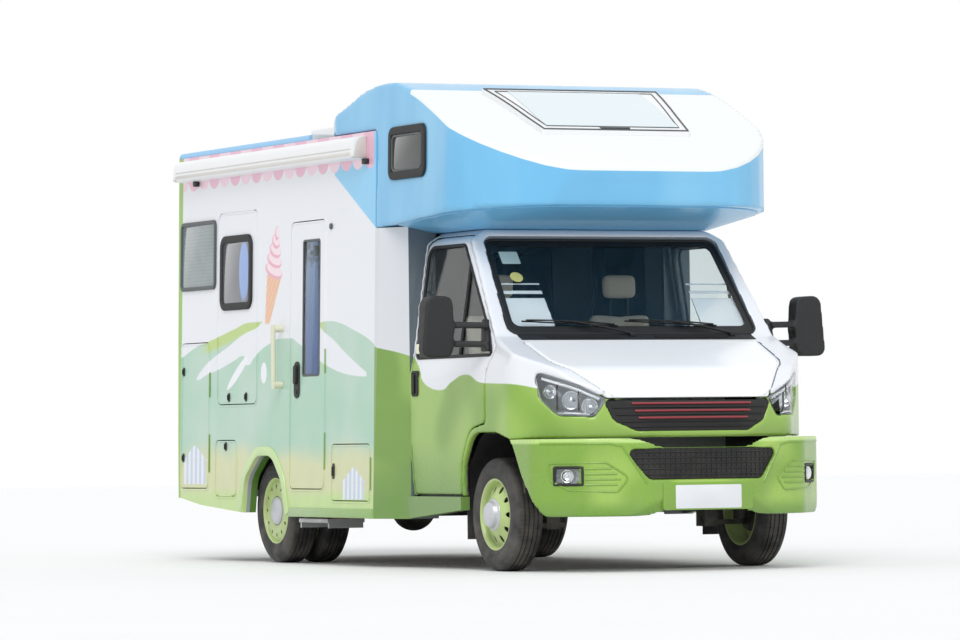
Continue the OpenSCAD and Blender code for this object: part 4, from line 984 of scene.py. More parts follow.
silver_mat = finish("silver hub paint", srgb("C9CBD2"), 0.38, 0.1, 0.1, 0.2, 0.04, 90, metallic=0.35,
                    coat_weight=0.2)
rim_set(axle_x, [front_y], [(0.202, -0.045), (0.196, -0.040), (0.188, -0.044), (0.150, -0.066),
                            (0.112, -0.088),
                            (0.104, -0.094), (0.098, -0.094)],
        10, 0.155, (0.0165, 0.024),
        [(0.0, -0.1395), (0.045, -0.1385), (0.066, -0.134), (0.076, -0.126), (0.084, -0.104), (0.097, -0.097),
         (0.100, -0.088), (0.034, -0.08), (0.0, -0.08)], "front", "front_wheel", ("front_rim_right",
                                                                                  "front_rim_left"))
rim_set(rear_axle_x, twin_y, [(0.202, -0.068), (0.194, -0.074), (0.176, -0.078), (0.14, -0.080),
                              (0.105, -0.076),
                              (0.098, -0.076)],
        12, 0.163, (0.0105, 0.015),
        [(0.0, -0.0945), (0.05, -0.0940), (0.078, -0.0900), (0.088, -0.0840), (0.094, -0.078), (0.094, -0.06),
         (0.034, -0.05), (0.0, -0.05)], "rear", "rear_wheels", ("rear_rims_right", "rear_rims_left"))
print("rims done")

# %% [markdown]
# ## Head lamps and fog lamps
# A lamp is a clear lens over a deep tray with bright bowls in it. The lens is the solid's own front skin,
# thickened. What is left of the solid, its sides and back, turns inside out and becomes the tray.

# %% Lamps
def faces_where(piece, test):
    """Selects the faces that pass a test in edit mode."""
    lone(piece)
    for polygon in piece.data.polygons:
        polygon.select = test(polygon)
    bpy.ops.object.mode_set(mode="EDIT")
    bpy.ops.mesh.select_mode(type="FACE")
    bpy.ops.object.mode_set(mode="OBJECT")
    for polygon in piece.data.polygons:
        polygon.select = test(polygon)
    bpy.ops.object.mode_set(mode="EDIT")


def outer_skin(polygon):
    """Lens faces look forwards and lie near the front of the lamp."""
    deep = skin("front_lamps", (front_x + 0.4, polygon.center.y, polygon.center.z), (-1, 0, 0))
    return polygon.normal.x > 0.1 and deep is not None and abs(deep.x - polygon.center.x) < 0.012


lens = copied("front_lamps")
faces_where(lens, lambda polygon: not outer_skin(polygon))
bpy.ops.mesh.delete(type="FACE")
bpy.ops.object.mode_set(mode="OBJECT")
modify(lens, "SOLIDIFY", thickness=0.003, offset=-1)
settle(lens, "lamp_lenses", lens_mat, "truck", 50)
tray = copied("front_lamps")
faces_where(tray, outer_skin)
bpy.ops.mesh.delete(type="FACE")
bpy.ops.mesh.select_all(action="SELECT")
bpy.ops.mesh.flip_normals()
bpy.ops.object.mode_set(mode="OBJECT")
tray_mat = finish("lamp tray", srgb("DDE0E4"), 0.25, 0.1, 0.15, 0.0, 0.04, 90, metallic=0.2)
settle(tray, "lamp_trays", tray_mat, "truck", 40)
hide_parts("front_lamps")
print("lens faces", len(lens.data.polygons), "tray faces", len(tray.data.polygons))


# %% [markdown]
# ## Reflector bowls
# Behind a clear lens sit bright reflectors. Each is a profile turned round the lamp's axis, like a dish on
# a potter's wheel, with a bulb in the middle. It is made on the right and mirrored to the left.

# %% Lamp bowls
def bowl(centre, radius, depth, turn):
    """Open bowl with a rolled edge and a bulb, facing forwards and turned outwards."""
    rows = [(0.0, depth), (radius * 0.45, depth * 0.86), (radius * 0.8, depth * 0.5), (radius, 0.0),
            (radius + 0.004, -0.002), (radius + 0.006, 0.002), (radius * 0.84,
                                                                depth * 0.56), (radius * 0.45, depth * 0.94),
            (0.0, depth + 0.006)]
    piece = turned([(r, -offset) for r, offset in rows], (0, 0, 0), axis="X", steps=40)
    bulb = turned([(0.0, 0.0), (radius * 0.16, -0.006), (radius * 0.2, -0.02), (radius * 0.12, -depth),
                   (0.0, -depth)],
                  (0, 0, 0), axis="X", steps=20)
    piece = joined([piece, bulb])
    piece.location = centre
    piece.rotation_euler.z = math.radians(turn)
    bpy.ops.object.transform_apply(location=True, rotation=True, scale=True)
    return piece


bowls = []
for y, z, radius in ((-0.640, 0.992, 0.044), (-0.735, 1.030, 0.050), (-0.822, 1.085, 0.036)):
    front = skin("front_lamps", (front_x + 0.4, y, z), (-1, 0, 0))
    bowls.append(bowl(front + Vector((-0.032, 0.012, 0)), radius, 0.045, -28))
both_sides(joined(bowls), "lamp_bowls", chrome_mat, "truck", 30)


def lamp_line(lift, radius, points):
    """Rod on the lens that follows the lamp's outline."""
    line = traced("front_lamps", [(front_x + 0.4, y, z) for y, z in points], (-1, 0, 0), lift)
    return rod(line, radius)


upper_trim = [(-0.580 - 0.27 * t, 1.035 + 0.125 * t) for t in [i / 12 for i in range(13)]]
both_sides(joined([lamp_line(-0.018, 0.009, upper_trim),
                   lamp_line(-0.014, 0.0055,
                             [(-0.635 - 0.17 * i / 10, 0.945 + 0.012 * i / 10) for i in range(11)])]),
           "lamp_light_strips", finish("white light strip", srgb("F4F6FA"), 0.2, 0.05, 0.05, 0, 0.02,
                                       60), "truck", 50)
dark_trim = joined([lamp_line(-0.03, 0.006, [(-0.690, 0.965 + 0.13 * i / 8) for i in range(9)]),
                    lamp_line(-0.03, 0.006, [(-0.785, 0.975 + 0.15 * i / 8) for i in range(9)])])
both_sides(dark_trim, "lamp_dividers", satin_black_mat, "truck", 50)
print("lamps done")

# %% [markdown]
# ## Grilles, bumper pods and the blank plate
# The upper grille has three dark red bars between black ribs that run out to the lamps. The lower one is a
# mesh of thin bars. Both are rods that follow the solid grilles' skins, so they sit where the bumper curves.

# %% Grilles
def grille_line(z, reach, radius, lift, start=None):
    """Rod across a grille at a height, from start to reach on both sides."""
    steps = 26
    first = -reach if start is None else start
    line = traced("grilles", [(front_x + 0.3, first + (reach - first) * i / steps,
                               z) for i in range(steps + 1)],
                  (-1, 0, 0), lift)
    return rod(line, radius, sides=2)


red_bars = joined([grille_line(z, reach, 0.0075, 0.004)
                   for z, reach in ((1.006, 0.400), (0.962, 0.385), (0.920, 0.365))])
settle(red_bars, "grille_red_bars", bar_mat, "truck", 50)
ribs = []
for z, reach in ((0.984, 0.51), (0.941, 0.49), (0.899, 0.46), (0.868, 0.40)):
    ribs.append(grille_line(z, reach, 0.0055, 0.003))
for z in (0.715, 0.682, 0.649, 0.616, 0.583, 0.560):
    wide = 0.377 + (z - 0.552) / 0.182 * 0.139 - 0.012
    ribs.append(grille_line(z, wide, 0.0045, 0.003))
for i in range(-13, 14):
    y = i * 0.034
    top_z, low_z = 0.728, 0.558 + max(0.0, (abs(y) - 0.365) / 0.139 * 0.182)
    line = traced("grilles", [(front_x + 0.3, y, low_z + (top_z - low_z) * k / 5) for k in range(6)],
                  (-1, 0, 0), 0.002)
    ribs.append(rod(line, 0.003, sides=1))
settle(joined(ribs), "grille_ribs", satin_black_mat, "truck", 50)
print("grille bars placed")


# %% [markdown]
# ## Raised lines on the bumper
# The bumper's low mouldings are pressed lines. Rods laid half into its skin give a soft raised edge, and
# a shallow plinth carries the number plate, which is left blank. A dark sill closes the door's foot.

# %% Bumper pods and plate
def bumper_line(points, radius, lift=0.0):
    """Rod on the bumper's front skin through Y and Z points."""
    return rod(traced("front_bumper", [(front_x + 0.3, y, z) for y, z in points], (-1, 0, 0), lift),
               radius, sides=4)


def along_line(points, steps=8):
    """Points spread evenly between the given ones."""
    return [(a[0] + (b[0] - a[0]) * k / steps, a[1] + (b[1] - a[1]) * k / steps)
            for a, b in zip(points, points[1:]) for k in range(steps)] + [points[-1]]


pod = soft([(-0.900, 0.655, 0.02), (-0.885, 0.545, 0.05), (-0.800, 0.492, 0.03), (-0.560, 0.480, 0.03),
            (-0.490, 0.565, 0.03), (-0.620, 0.655, 0.04)])
pods = [bumper_line(along_line(pod + pod[:1], 3), 0.0065, -0.001)]
for z, first, last in ((0.620, -0.735, -0.590), (0.588, -0.735, -0.560), (0.556, -0.735, -0.540),
                       (0.524, -0.735, -0.560)):
    pods.append(bumper_line(along_line([(first, z), (last, z)], 10), 0.0075, -0.003))
both_sides(joined(pods), "bumper_pods", lime_mat, "truck", 60)
crease = bumper_line(along_line([(-0.93, 0.772), (-0.60, 0.768), (-0.53, 0.752), (-0.39, 0.530)], 10),
                     0.008, -0.003)
both_sides(crease, "bumper_creases", lime_mat, "truck", 60)
bezels = bumper_line(along_line([(-0.870, 0.628), (-0.870, 0.526), (-0.747, 0.526), (-0.747, 0.628),
                                 (-0.870, 0.628)], 6),
                     0.009, -0.002)
both_sides(bezels, "fog_lamp_bezels", satin_black_mat, "truck", 50)
nose = skin("front_bumper", (front_x + 0.3, 0.0, 0.447), (-1, 0, 0))
plinth = plate(rounded(-0.30, 0.368, 0.30, 0.535, 0.02), "X", nose.x - 0.03, nose.x + 0.004, 0.004)
settle(plinth, "plate_plinth", lime_mat, "truck")
number_plate = plate(rounded(-0.22, 0.377, 0.22, 0.517, 0.008), "X", nose.x + 0.004, nose.x + 0.008, 0.0012)
settle(number_plate, "front_plate_blank", plate_mat, "truck")
fog_point = skin("front_lamps", (front_x + 0.3, -0.808, 0.577), (-1, 0, 0))
fog_bowl = bowl(fog_point + Vector((0.004, -0.002, 0)), 0.034, 0.016, -30)
both_sides(fog_bowl, "fog_lamp_bowls", chrome_mat, "truck", 30)
door_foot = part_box("cab_door_right")[0].z
door_sill = block((cab_rear + 0.06, -0.955, door_foot - 0.05), (axle_x - 0.40, -0.86, door_foot + 0.03),
                  0.006)
both_sides(door_sill, "door_sills", satin_black_mat, "truck")
print("nose at", round(nose.x, 3))

# %% [markdown]
# ## Windscreen surround, cowl and wipers
# The screen's edge is hidden by a black printed border and a rubber seal. They are made flat and turned
# onto the screen's plane with one matrix, whose first axis runs down the glass.

# %% Windscreen surround
head_x, head_z = axle_x - 0.430, 2.055
foot_x, foot_z = axle_x + 0.100, 1.425
down = Vector((foot_x - head_x, 0, foot_z - head_z))
screen_len = down.length
down.normalize()
outward = Vector((-down.z, 0, down.x))
screen_frame = Matrix((down, (0, 1, 0), outward)).transposed().to_4x4()
screen_frame.translation = (head_x, 0, head_z)


def on_screen(piece):
    """Turns a flat piece onto the windscreen."""
    lone(piece)
    piece.matrix_world = screen_frame
    bpy.ops.object.transform_apply(location=True, rotation=True, scale=True)
    return piece


screen_edge = soft([(0.025, -0.795, 0.07), (screen_len - 0.015, -0.850, 0.07),
                    (screen_len - 0.015, 0.850, 0.07),
                    (0.025, 0.795, 0.07)], 6)
screen_clear = soft([(0.075, -0.755, 0.05), (screen_len - 0.085, -0.800, 0.05),
                     (screen_len - 0.085, 0.800, 0.05),
                     (0.075, 0.755, 0.05)], 6)
border = on_screen(ring(screen_edge, screen_clear, "Z", -0.0145, -0.0035, 0.0))
settle(border, "screen_border", satin_black_mat, "truck", 30)
seal = on_screen(rod([(a, b, -0.002) for a, b in grown(screen_edge, -0.004)], 0.008, closed=True))
settle(seal, "screen_seal", rubber_mat, "truck", 50)
pale_sticker = on_screen(plate(rounded(0.125, -0.715, 0.225, -0.590, 0.006), "Z", -0.0045, -0.0035))
settle(pale_sticker, "bare_sticker_pale", finish("pale sticker", srgb("B9CDCB"), 0.5, 0.1, 0.3, 0, 0.02,
                                                60), "truck")
disc = on_screen(plate(oval(0.335, -0.655, 0.040, 0.042), "Z", -0.0045, -0.0035))
settle(disc, "bare_sticker_round", finish("straw sticker", srgb("C6C57A"), 0.5, 0.1, 0.3, 0, 0.02, 60),
       "truck")

# %% [markdown]
# ## The seal beside the bonnet
# A gap that opens onto a dark engine bay looks black. Real bonnets close on a soft seal, so a pale rod
# follows the bonnet's edge a little below the skin. The edge is found by halving the distance to it.

# %% Bonnet seal
def bonnet_edge(x):
    """The bonnet's right edge at a place along the truck, found by halving."""
    inner, outer = 0.3, 1.1
    for _ in range(14):
        middle = (inner + outer) / 2
        hit = skin("bonnet", (x, -middle, 2.4), (0, 0, -1))
        inner, outer = (middle, outer) if hit else (inner, middle)
    hit = skin("bonnet", (x, -inner + 0.002, 2.4), (0, 0, -1))
    return Vector((x, -inner - 0.003, hit.z - 0.011)) if hit else None


seal_points = [bonnet_edge(axle_x + 0.180 + 0.030 * i) for i in range(32)]
seal_points = [point for point in seal_points if point]
bonnet_seal = rod(seal_points, 0.0065, sides=4)
both_sides(bonnet_seal, "bonnet_seals", moulding_mat, "truck", 60)
print("bonnet seal from", [round(v, 3) for v in seal_points[0]], "to", [round(v, 3) for v in seal_points[-1]])


# %% [markdown]
# ## Cowl and wipers
# The strip under the screen is black plastic with louvres. Each wiper is a straight rubber with a bowed
# spine over it, and an arm that runs back to its pivot in the cowl.

# %% Cowl and wipers
cowl_strip = draped("cab_shell", (foot_x - 0.004, -0.80, 1.8), (axle_x + 0.160, 0.80, 1.8), (8, 40),
                    (0, 0, -1), 0.003, 0.004)
settle(cowl_strip, "cowl_strip", black_mat, "truck", 40)
vents = [rod(traced("cab_shell", [(foot_x + 0.012 + 0.010 * k, y0 + 0.5 * i / 12, 1.8) for i in range(13)],
                    (0, 0, -1), 0.008), 0.0025)
         for k in range(4) for y0 in (-0.62, 0.12)]
settle(joined(vents), "cowl_louvres", satin_black_mat, "truck", 50)


def screen_point(s, y, lift):
    return Vector((head_x, y, head_z)) + down * s + outward * lift


wipers = []
for first, last, pivot in ((-0.74, -0.10, -0.03), (-0.04, 0.58, 0.66)):
    s_first, s_last = screen_len - 0.118, screen_len - 0.080
    ends = [screen_point(s_first, first, 0.006), screen_point(s_last, last, 0.006)]
    wipers.append(rod([ends[0] + (ends[1] - ends[0]) * k / 8 for k in range(9)], 0.0055, sides=1))
    shares = [0.04 + 0.92 * k / 8 for k in range(9)]
    spine = [ends[0] + (ends[1] - ends[0]) * share + outward * (0.010 + 0.012 * (1 - (2 * share - 1) ** 2))
             for share in shares]
    wipers.append(rod(spine, 0.0048, sides=2))
    middle = ends[0] + (ends[1] - ends[0]) * 0.5 + outward * 0.024
    hub = screen_point(screen_len - 0.004, pivot, 0.012)
    wipers.append(rod([middle, middle + (hub - middle) * 0.55 + outward * 0.012, hub + outward * 0.008],
                      0.0075, sides=2))
    wipers.append(block(hub - Vector((0.016, 0.018, 0.014)), hub + Vector((0.016, 0.018, 0.016)), 0.006))
settle(joined(wipers), "wipers", satin_black_mat, "truck", 50)
print("wipers placed")

# %% [markdown]
# ## Cab door trim
# Each door has a black rubber round its glass, a post that divides the pane, a recessed handle and a seam
# line. The mirror gets its glass at the back and a small lamp at the outer corner.

# %% Cab door trim
door_rear = cab_rear + 0.025
door_glass_edge = soft([(door_rear + 0.050, 1.318, 0.03), (axle_x + 0.090, 1.318, 0.02),
                        (axle_x + 0.020, 1.445, 0.06),
                        (head_x - 0.065, 2.000, 0.07), (door_rear + 0.050, 2.000, 0.07)], 6)
cab_reach = 1.3


def door_line(points, lift):
    """Points dropped onto the right cab door's outside."""
    return traced("cab_door_right", [(x, -cab_reach, z) for x, z in points], (0, 1, 0), lift)


def spread(outline, gap=0.03):
    """Closed outline with a point every so far."""
    result = []
    for i, (a, b) in enumerate(outline):
        end = outline[(i + 1) % len(outline)]
        steps = max(1, round(math.dist((a, b), end) / gap))
        result += [(a + (end[0] - a) * k / steps, b + (end[1] - b) * k / steps) for k in range(steps)]
    return result


glass_rubber = rod(door_line(spread(grown(door_glass_edge, 0.004)), -0.002), 0.011, closed=True)
both_sides(glass_rubber, "door_glass_rubber", rubber_mat, "cab_door", 50)
post_x = axle_x - 0.395
post_points = [(post_x, -cab_reach, 1.325 + 0.55 * k / 10) for k in range(11)]
post = rod(traced("door_glass_right", post_points, (0, 1, 0), 0.004), 0.011)
both_sides(post, "door_glass_posts", rubber_mat, "cab_door", 50)
grip_y = skin("cab_door_right", (door_rear + 0.075, -cab_reach, 1.16), (0, 1, 0)).y
handle_ring = ring(rounded(door_rear + 0.030, 1.075, door_rear + 0.130, 1.235, 0.025),
                   rounded(door_rear + 0.044, 1.089, door_rear + 0.116, 1.221, 0.018),
                   "Y", grip_y - 0.007, grip_y + 0.01, 0.003)
handle_cup = plate(rounded(door_rear + 0.040, 1.085, door_rear + 0.120, 1.225, 0.02), "Y", grip_y - 0.002,
                   grip_y + 0.01)
handle_bar = block((door_rear + 0.052, grip_y - 0.012, 1.095), (door_rear + 0.080, grip_y - 0.004, 1.215),
                   0.006, 3)
both_sides(joined([handle_ring, handle_cup, handle_bar]), "cab_door_handles", black_mat, "cab_door")
mirror_low, mirror_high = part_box("mirror_right")
head_low = mirror_low.y
looking = plate(rounded(head_low + 0.022, mirror_low.z + 0.13, head_low + 0.190, mirror_high.z - 0.035,
                        0.035), "X",
                mirror_low.x - 0.0015, mirror_low.x + 0.004, 0.0008)
both_sides(looking, "mirror_glass", chrome_mat, "cab_door", 30)
wide = plate(rounded(head_low + 0.030, mirror_low.z + 0.030, head_low + 0.185, mirror_low.z + 0.110, 0.03),
             "X",
             mirror_low.x - 0.0015, mirror_low.x + 0.004, 0.0008)
both_sides(wide, "mirror_wide_glass", chrome_mat, "cab_door", 30)
corner_lamp = block((mirror_high.x - 0.195, head_low - 0.002, mirror_low.z + 0.025),
                    (mirror_high.x - 0.150, head_low + 0.026, mirror_low.z + 0.085), 0.008, 3)
print("mirror head from", round(head_low, 3), "x", [round(v, 3) for v in (mirror_low.x, mirror_high.x)])
both_sides(corner_lamp, "mirror_lamps", finish("cream lens", srgb("E6E3CC"), 0.25, 0.05, 0.1, 0, 0.05, 90),
           "cab_door", 40)

# %% [markdown]
# ## Box windows
# A motorhome window is a tinted pane in a thick rubber frame. The frame is a ring between two outlines and
# the pane a bevelled plate a little behind its face. The rear side one is a flat pane with a thin frame.

# %% Box windows
def pane_color(base, band, line_at=None):
    """Tinted pane with a soft vertical band of curtain and fine blind lines."""
    def draw(recipe):
        spot = recipe.add("ShaderNodeTexCoord").outputs["Object"]
        parts = recipe.add("ShaderNodeSeparateXYZ", {0: spot}).outputs
        streak = recipe.ramp(recipe.noise(spot, 5.0, 3), 0.3, 0.75)
        color = recipe.mix(streak, (*srgb(base), 1), (*[c * 1.25 for c in srgb(base)], 1))
        if band:
            x_at, z_at, wide, tall = band
            color = recipe.mix(recipe.blob(parts[0], parts[2], (x_at, z_at), (wide, tall), 0, 0.12), color,
                               (*srgb("8CA8DC"), 1))
        if line_at:
            lines = recipe.below(recipe.math("FRACT", recipe.math("MULTIPLY", parts[2], line_at)), 0.12, 0.05)
            color = recipe.mix(recipe.math("MULTIPLY", lines, 0.4), color, (*srgb("5D6666"), 1))
        return color
    return draw


tint = dict(coat_weight=0.8, coat_roughness=0.03)
blind_mat = finish("pane with blind", pane_color("7F8A8B", None, 42.0), 0.2, 0.05, 0.1, 0, 0.01, 20, **tint)
hatch_pane_mat = finish("hatch pane", pane_color("6B6D72", (box_rear + 1.222, 1.95, 0.085, 0.20)), 0.12,
                        0.05, 0.1, 0, 0.01, 20, **tint)
dark_pane_mat = finish("dark pane", pane_color("2C3130", None), 0.1, 0.04, 0.2, 0, 0.006, 20, **tint)
frame_grey_mat = finish("grey window frame", srgb("4C5355"), 0.45, 0.1, 0.15, 0.1, 0.08, 200)
lap = 0.022


def wall_window(name, x0, z0, x1, z1, radius, rim, side, frame_mat, pane_mat, body="truck", proud=0.014):
    """Frame and pane on a side wall; the frame laps over the opening's edge."""
    outer = rounded(x0 - lap, z0 - lap, x1 + lap, z1 + lap, radius + lap)
    inner = rounded(x0 - lap + rim, z0 - lap + rim, x1 + lap - rim, z1 + lap - rim,
                    max(0.012, radius + lap - rim))
    frame_piece = wall_ring(outer, inner, proud, 0.036, side, 0.006 if rim > 0.03 else 0.003)
    settle(frame_piece, name + "_frame", frame_mat, body)
    pane = on_wall(grown(inner, 0.004), proud - 0.008, 0.008, side, 0.003)
    settle(pane, name + "_pane", pane_mat, body)
    return frame_piece


right_rear = wall_window("rear_side_window", box_rear + 0.090, 1.864, box_rear + 0.690, 2.292, 0.025,
                         0.026, -1, frame_grey_mat, blind_mat)
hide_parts("box_windows")
alcove_x = (axle_x - 1.148, axle_x - 0.630)
for side, word in ((-1, "right"), (1, "left")):
    wall_window("alcove_window_" + word, alcove_x[0], 2.455, alcove_x[1], 2.742, 0.040, 0.050, side,
                rubber_mat, dark_pane_mat)
    inner_lip = wall_ring(rounded(alcove_x[0] + 0.03, 2.485, alcove_x[1] - 0.03, 2.712, 0.04),
                          rounded(alcove_x[0] + 0.042, 2.497, alcove_x[1] - 0.042, 2.700,
                                  0.03), 0.013, 0.0, side, 0.003)
    settle(inner_lip, "alcove_window_lip_" + word, frame_grey_mat, "truck")
for i, x0 in enumerate((box_rear + 0.500, box_front - 1.300)):
    x1 = box_rear + 1.500 if i == 0 else box_front - 0.500
    wall_window("left_window_%d" % (i + 1), x0, 1.5, x1, 2.1, 0.060, 0.045, 1, rubber_mat, dark_pane_mat)
hatch_front = box_rear + 1.455
hatch_glass = (hatch_front - 0.634, 1.712, hatch_front - 0.112, 2.172)
hatch_frame = wall_window("hatch_window", *hatch_glass, 0.060, 0.050, -1, rubber_mat, hatch_pane_mat,
                          "service_hatch")
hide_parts("hatch_window")
rear_frame = ring(rounded(-0.442, 1.478, 0.442, 2.072, 0.08), rounded(-0.40, 1.52, 0.40, 2.03, 0.05), "X",
                  box_rear - 0.004, box_rear + 0.03, 0.004)
settle(rear_frame, "rear_window_frame", rubber_mat, "truck")
rear_pane = plate(rounded(-0.404, 1.516, 0.404, 2.034, 0.05), "X", box_rear + 0.004, box_rear + 0.018, 0.003)
settle(rear_pane, "rear_window_pane", dark_pane_mat, "truck")
print("windows done")

# %% [markdown]
# ## Entry door glass and curtain
# The door has a long narrow pane with a pleated curtain close behind it. The curtain is a grid folded by
# a sine along its width; the pane is a thin plate in a slim dark seal.

# %% Entry door
entry_front = box_front - 0.805
entry_rear = entry_front - 0.570
pane_box = (entry_rear + 0.200, 1.230, entry_front - 0.088, 2.110)
pane_edge = rounded(*pane_box, 0.020)
door_pane = on_wall(grown(pane_edge, -0.001), -0.004, 0.009)
settle(door_pane, "entry_pane", glass("entry pane glass", (0.72, 0.78, 0.82)), "entry_door")
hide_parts("entry_door_glass")
door_seal = wall_ring(grown(pane_edge, 0.006), grown(pane_edge, -0.010), 0.002, 0.012, -1, 0.002)
settle(door_seal, "entry_pane_seal", frame_grey_mat, "entry_door")
lone()
bpy.ops.mesh.primitive_grid_add(x_subdivisions=90, y_subdivisions=12, size=1)
curtain = bpy.context.object
for vertex in curtain.data.vertices:
    across, along_z = vertex.co.x + 0.5, vertex.co.y + 0.5
    x = pane_box[0] - 0.01 + (pane_box[2] - pane_box[0] + 0.02) * across
    z = pane_box[1] - 0.01 + (pane_box[3] - pane_box[1] + 0.02) * along_z
    vertex.co = (x, -half_w(z) + 0.024 + 0.0035 * math.sin(across * math.tau * 9), z)
modify(curtain, "SOLIDIFY", thickness=0.001, offset=0)


def curtain_color(recipe):
    spot = recipe.add("ShaderNodeTexCoord").outputs["Object"]
    parts = recipe.add("ShaderNodeSeparateXYZ", {0: spot}).outputs
    shade = recipe.mix(recipe.ramp(parts[2], 1.25, 2.05), (*srgb("7E98D0"), 1), (*srgb("A4BBE0"), 1))
    # dark leafy blotches along the top: a painted reflection of foliage in the pane
    leaf_reflection = recipe.both(recipe.ramp(recipe.noise(spot, 16.0, 4), 0.42, 0.56),
                       recipe.ramp(parts[2], 1.88, 2.06))
    return recipe.mix(leaf_reflection, shade, (*srgb("46564E"), 1))


settle(curtain, "entry_curtain", finish("blue curtain", curtain_color, 0.8, 0.1, 0.1, 0, 0.3, 500),
       "entry_door", 60)
lock = on_wall(rounded(entry_rear + 0.070, 1.085, entry_rear + 0.160, 1.325, 0.042), 0.009, 0.002, edge=0.004)
lever = on_wall(rounded(entry_rear + 0.092, 1.175, entry_rear + 0.138, 1.300, 0.020), 0.026, -0.008,
                edge=0.006)
keyhole = on_wall(oval(entry_rear + 0.115, 1.125, 0.017, 0.017), 0.013, -0.008, edge=0.002)
settle(joined([lock, lever, keyhole]), "entry_door_lock", black_mat, "entry_door")
print("entry door done")

# %% [markdown]
# ## Seams, latches and hinge strips
# Every door and flap has a raised seam just inside its edge and a black latch, and three of them a green
# hinge strip. The seams and latches ride on their own door so that they swing away with it; the hinge strips
# and surrounds stay on the body.

# %% Panel fittings
panels = {
    "entry_door": ((entry_rear, 0.497, entry_front, 2.232, 0.045), "entry_door"),
    "service_hatch": ((hatch_front - 0.700, 1.060, hatch_front, 2.345, 0.055), "service_hatch"),
    "rear_locker": ((box_rear + 0.095, 0.495, box_rear + 0.590, 1.480, 0.035), "rear_locker"),
    "service_flap": ((box_rear + 0.730, 0.444, box_rear + 1.100, 0.813, 0.040), "service_flap"),
    "front_locker": ((box_front - 0.671, 0.424, box_front - 0.060, 0.779, 0.030), "front_locker")}
for name, ((x0, z0, x1, z1, radius), body) in panels.items():
    edge = rounded(x0, z0, x1, z1, radius)
    seam = wall_ring(grown(edge, -0.002), grown(edge, -0.012), 0.003, 0.002, -1, 0.002)
    settle(seam, name + "_seam", side_mat, body)
    surround = wall_ring(grown(edge, 0.020), grown(edge, 0.0065), 0.0025, 0.002, -1, 0.0015)
    settle(surround, name + "_surround", side_mat, "truck")


def small_latch(x, z, tall=0.075, wide=0.034):
    """Black escutcheon with a turning knob."""
    base = on_wall(oval(x, z, wide / 2, tall / 2, 24, 0.6), 0.006, 0.002, edge=0.002)
    knob = on_wall(rounded(x - wide * 0.16, z - tall * 0.3, x + wide * 0.16, z + tall * 0.3, wide * 0.12),
                   0.016, -0.005, edge=0.003)
    return joined([base, knob])


latches = {"rear_locker": [(box_rear + 0.130, 1.290), (box_rear + 0.135, 0.700)],
           "service_hatch": [(hatch_front - 0.490, 1.105), (hatch_front - 0.185, 1.105)],
           "service_flap": [(box_rear + 0.915, 0.775)], "front_locker": [(box_front - 0.640, 0.610)]}
for body, places in latches.items():
    tall = 0.10 if body == "front_locker" else 0.06
    settle(joined([small_latch(x, z, tall) for x, z in places]), body + "_latches", black_mat, body)
strips = [("rear_locker", box_rear + 0.595, ((1.11, 1.28), (0.60, 0.86))),
          ("entry_door", entry_front - 0.004, ((1.24, 1.40), (0.62, 0.86))),
          ("front_locker", box_front - 0.062, ((0.49, 0.70),))]
for body, x, heights_list in strips:
    bars = [on_wall(rounded(x + 0.010, z0, x + 0.026, z1, 0.006), 0.006, -0.002, edge=0.002)
            for z0, z1 in heights_list]
    settle(joined(bars), body + "_hinge_strips", strip_mat, "truck")
small_lamp = on_wall(oval(entry_front + 0.10, 2.185, 0.020, 0.020), 0.012, 0.0, edge=0.004)
settle(small_lamp, "marker_lamp", frame_grey_mat, "truck")
print("fittings done")

# %% [markdown]
# ## Arch flare and sill moulding
# A moulded flare runs round the rear arch and a rounded sill closes the wall's foot. Both are plates with
# broad bevels, a few millimetres proud of the wall.

# %% Arch and sill
arch_rear, arch_front, arch_top = rear_axle_x - 0.290, rear_axle_x + 0.475, 0.711
arch_rows = [(arch_front, 0.315, 0), (arch_front - 0.075, 0.545, 0.160),
             (arch_front - 0.250, arch_top, 0.190),
             (arch_rear + 0.260, arch_top, 0.190), (arch_rear + 0.050, 0.560, 0.160), (arch_rear, 0.340, 0)]
arch_curve = soft([(arch_front, 0.25, 0)] + arch_rows[1:-1] + [(arch_rear, 0.25, 0)], 8)
flare_in = [p for p in arch_curve if p[1] > 0.31]
flare_in = [(arch_front, 0.318)] + flare_in + [(arch_rear + 0.002, 0.345)]
flare_out = []
for i, (x, z) in enumerate(flare_in):
    run = (Vector(flare_in[min(i + 1, len(flare_in) - 1)]) - Vector(flare_in[max(i - 1, 0)])).normalized()
    flare_out.append((x + run.y * 0.062, z - run.x * 0.062))
flare_mat = finish("pale lime moulding", srgb("C3DD9C"), 0.3, 0.1, 0.05, 0.15, 0.01, 50, **gloss)
sill_mat = finish("lime sill", srgb("8FB568"), 0.3, 0.1, 0.05, 0.2, 0.01, 50, **gloss)
for side, word in ((-1, "right"), (1, "left")):
    flare = on_wall(flare_in + flare_out[::-1], 0.010, 0.002, side, 0.006)
    settle(flare, "arch_flare_" + word, flare_mat, "truck")
    sill = on_wall([(arch_front + 0.060, 0.312), (box_front - 0.004, 0.312), (box_front - 0.004, 0.372),
                    (arch_front + 0.062, 0.372)],
                   0.010, 0.002, side, 0.008)
    settle(sill, "sill_" + word, sill_mat, "truck")
print("flare points", len(flare_in))

# %% [markdown]
# ## Roof, awning and rear
# The ventilators get soft edges and lids. The awning's case has end caps, a rail along its front and two
# wall brackets. The skylight has a milky pane and two seals.

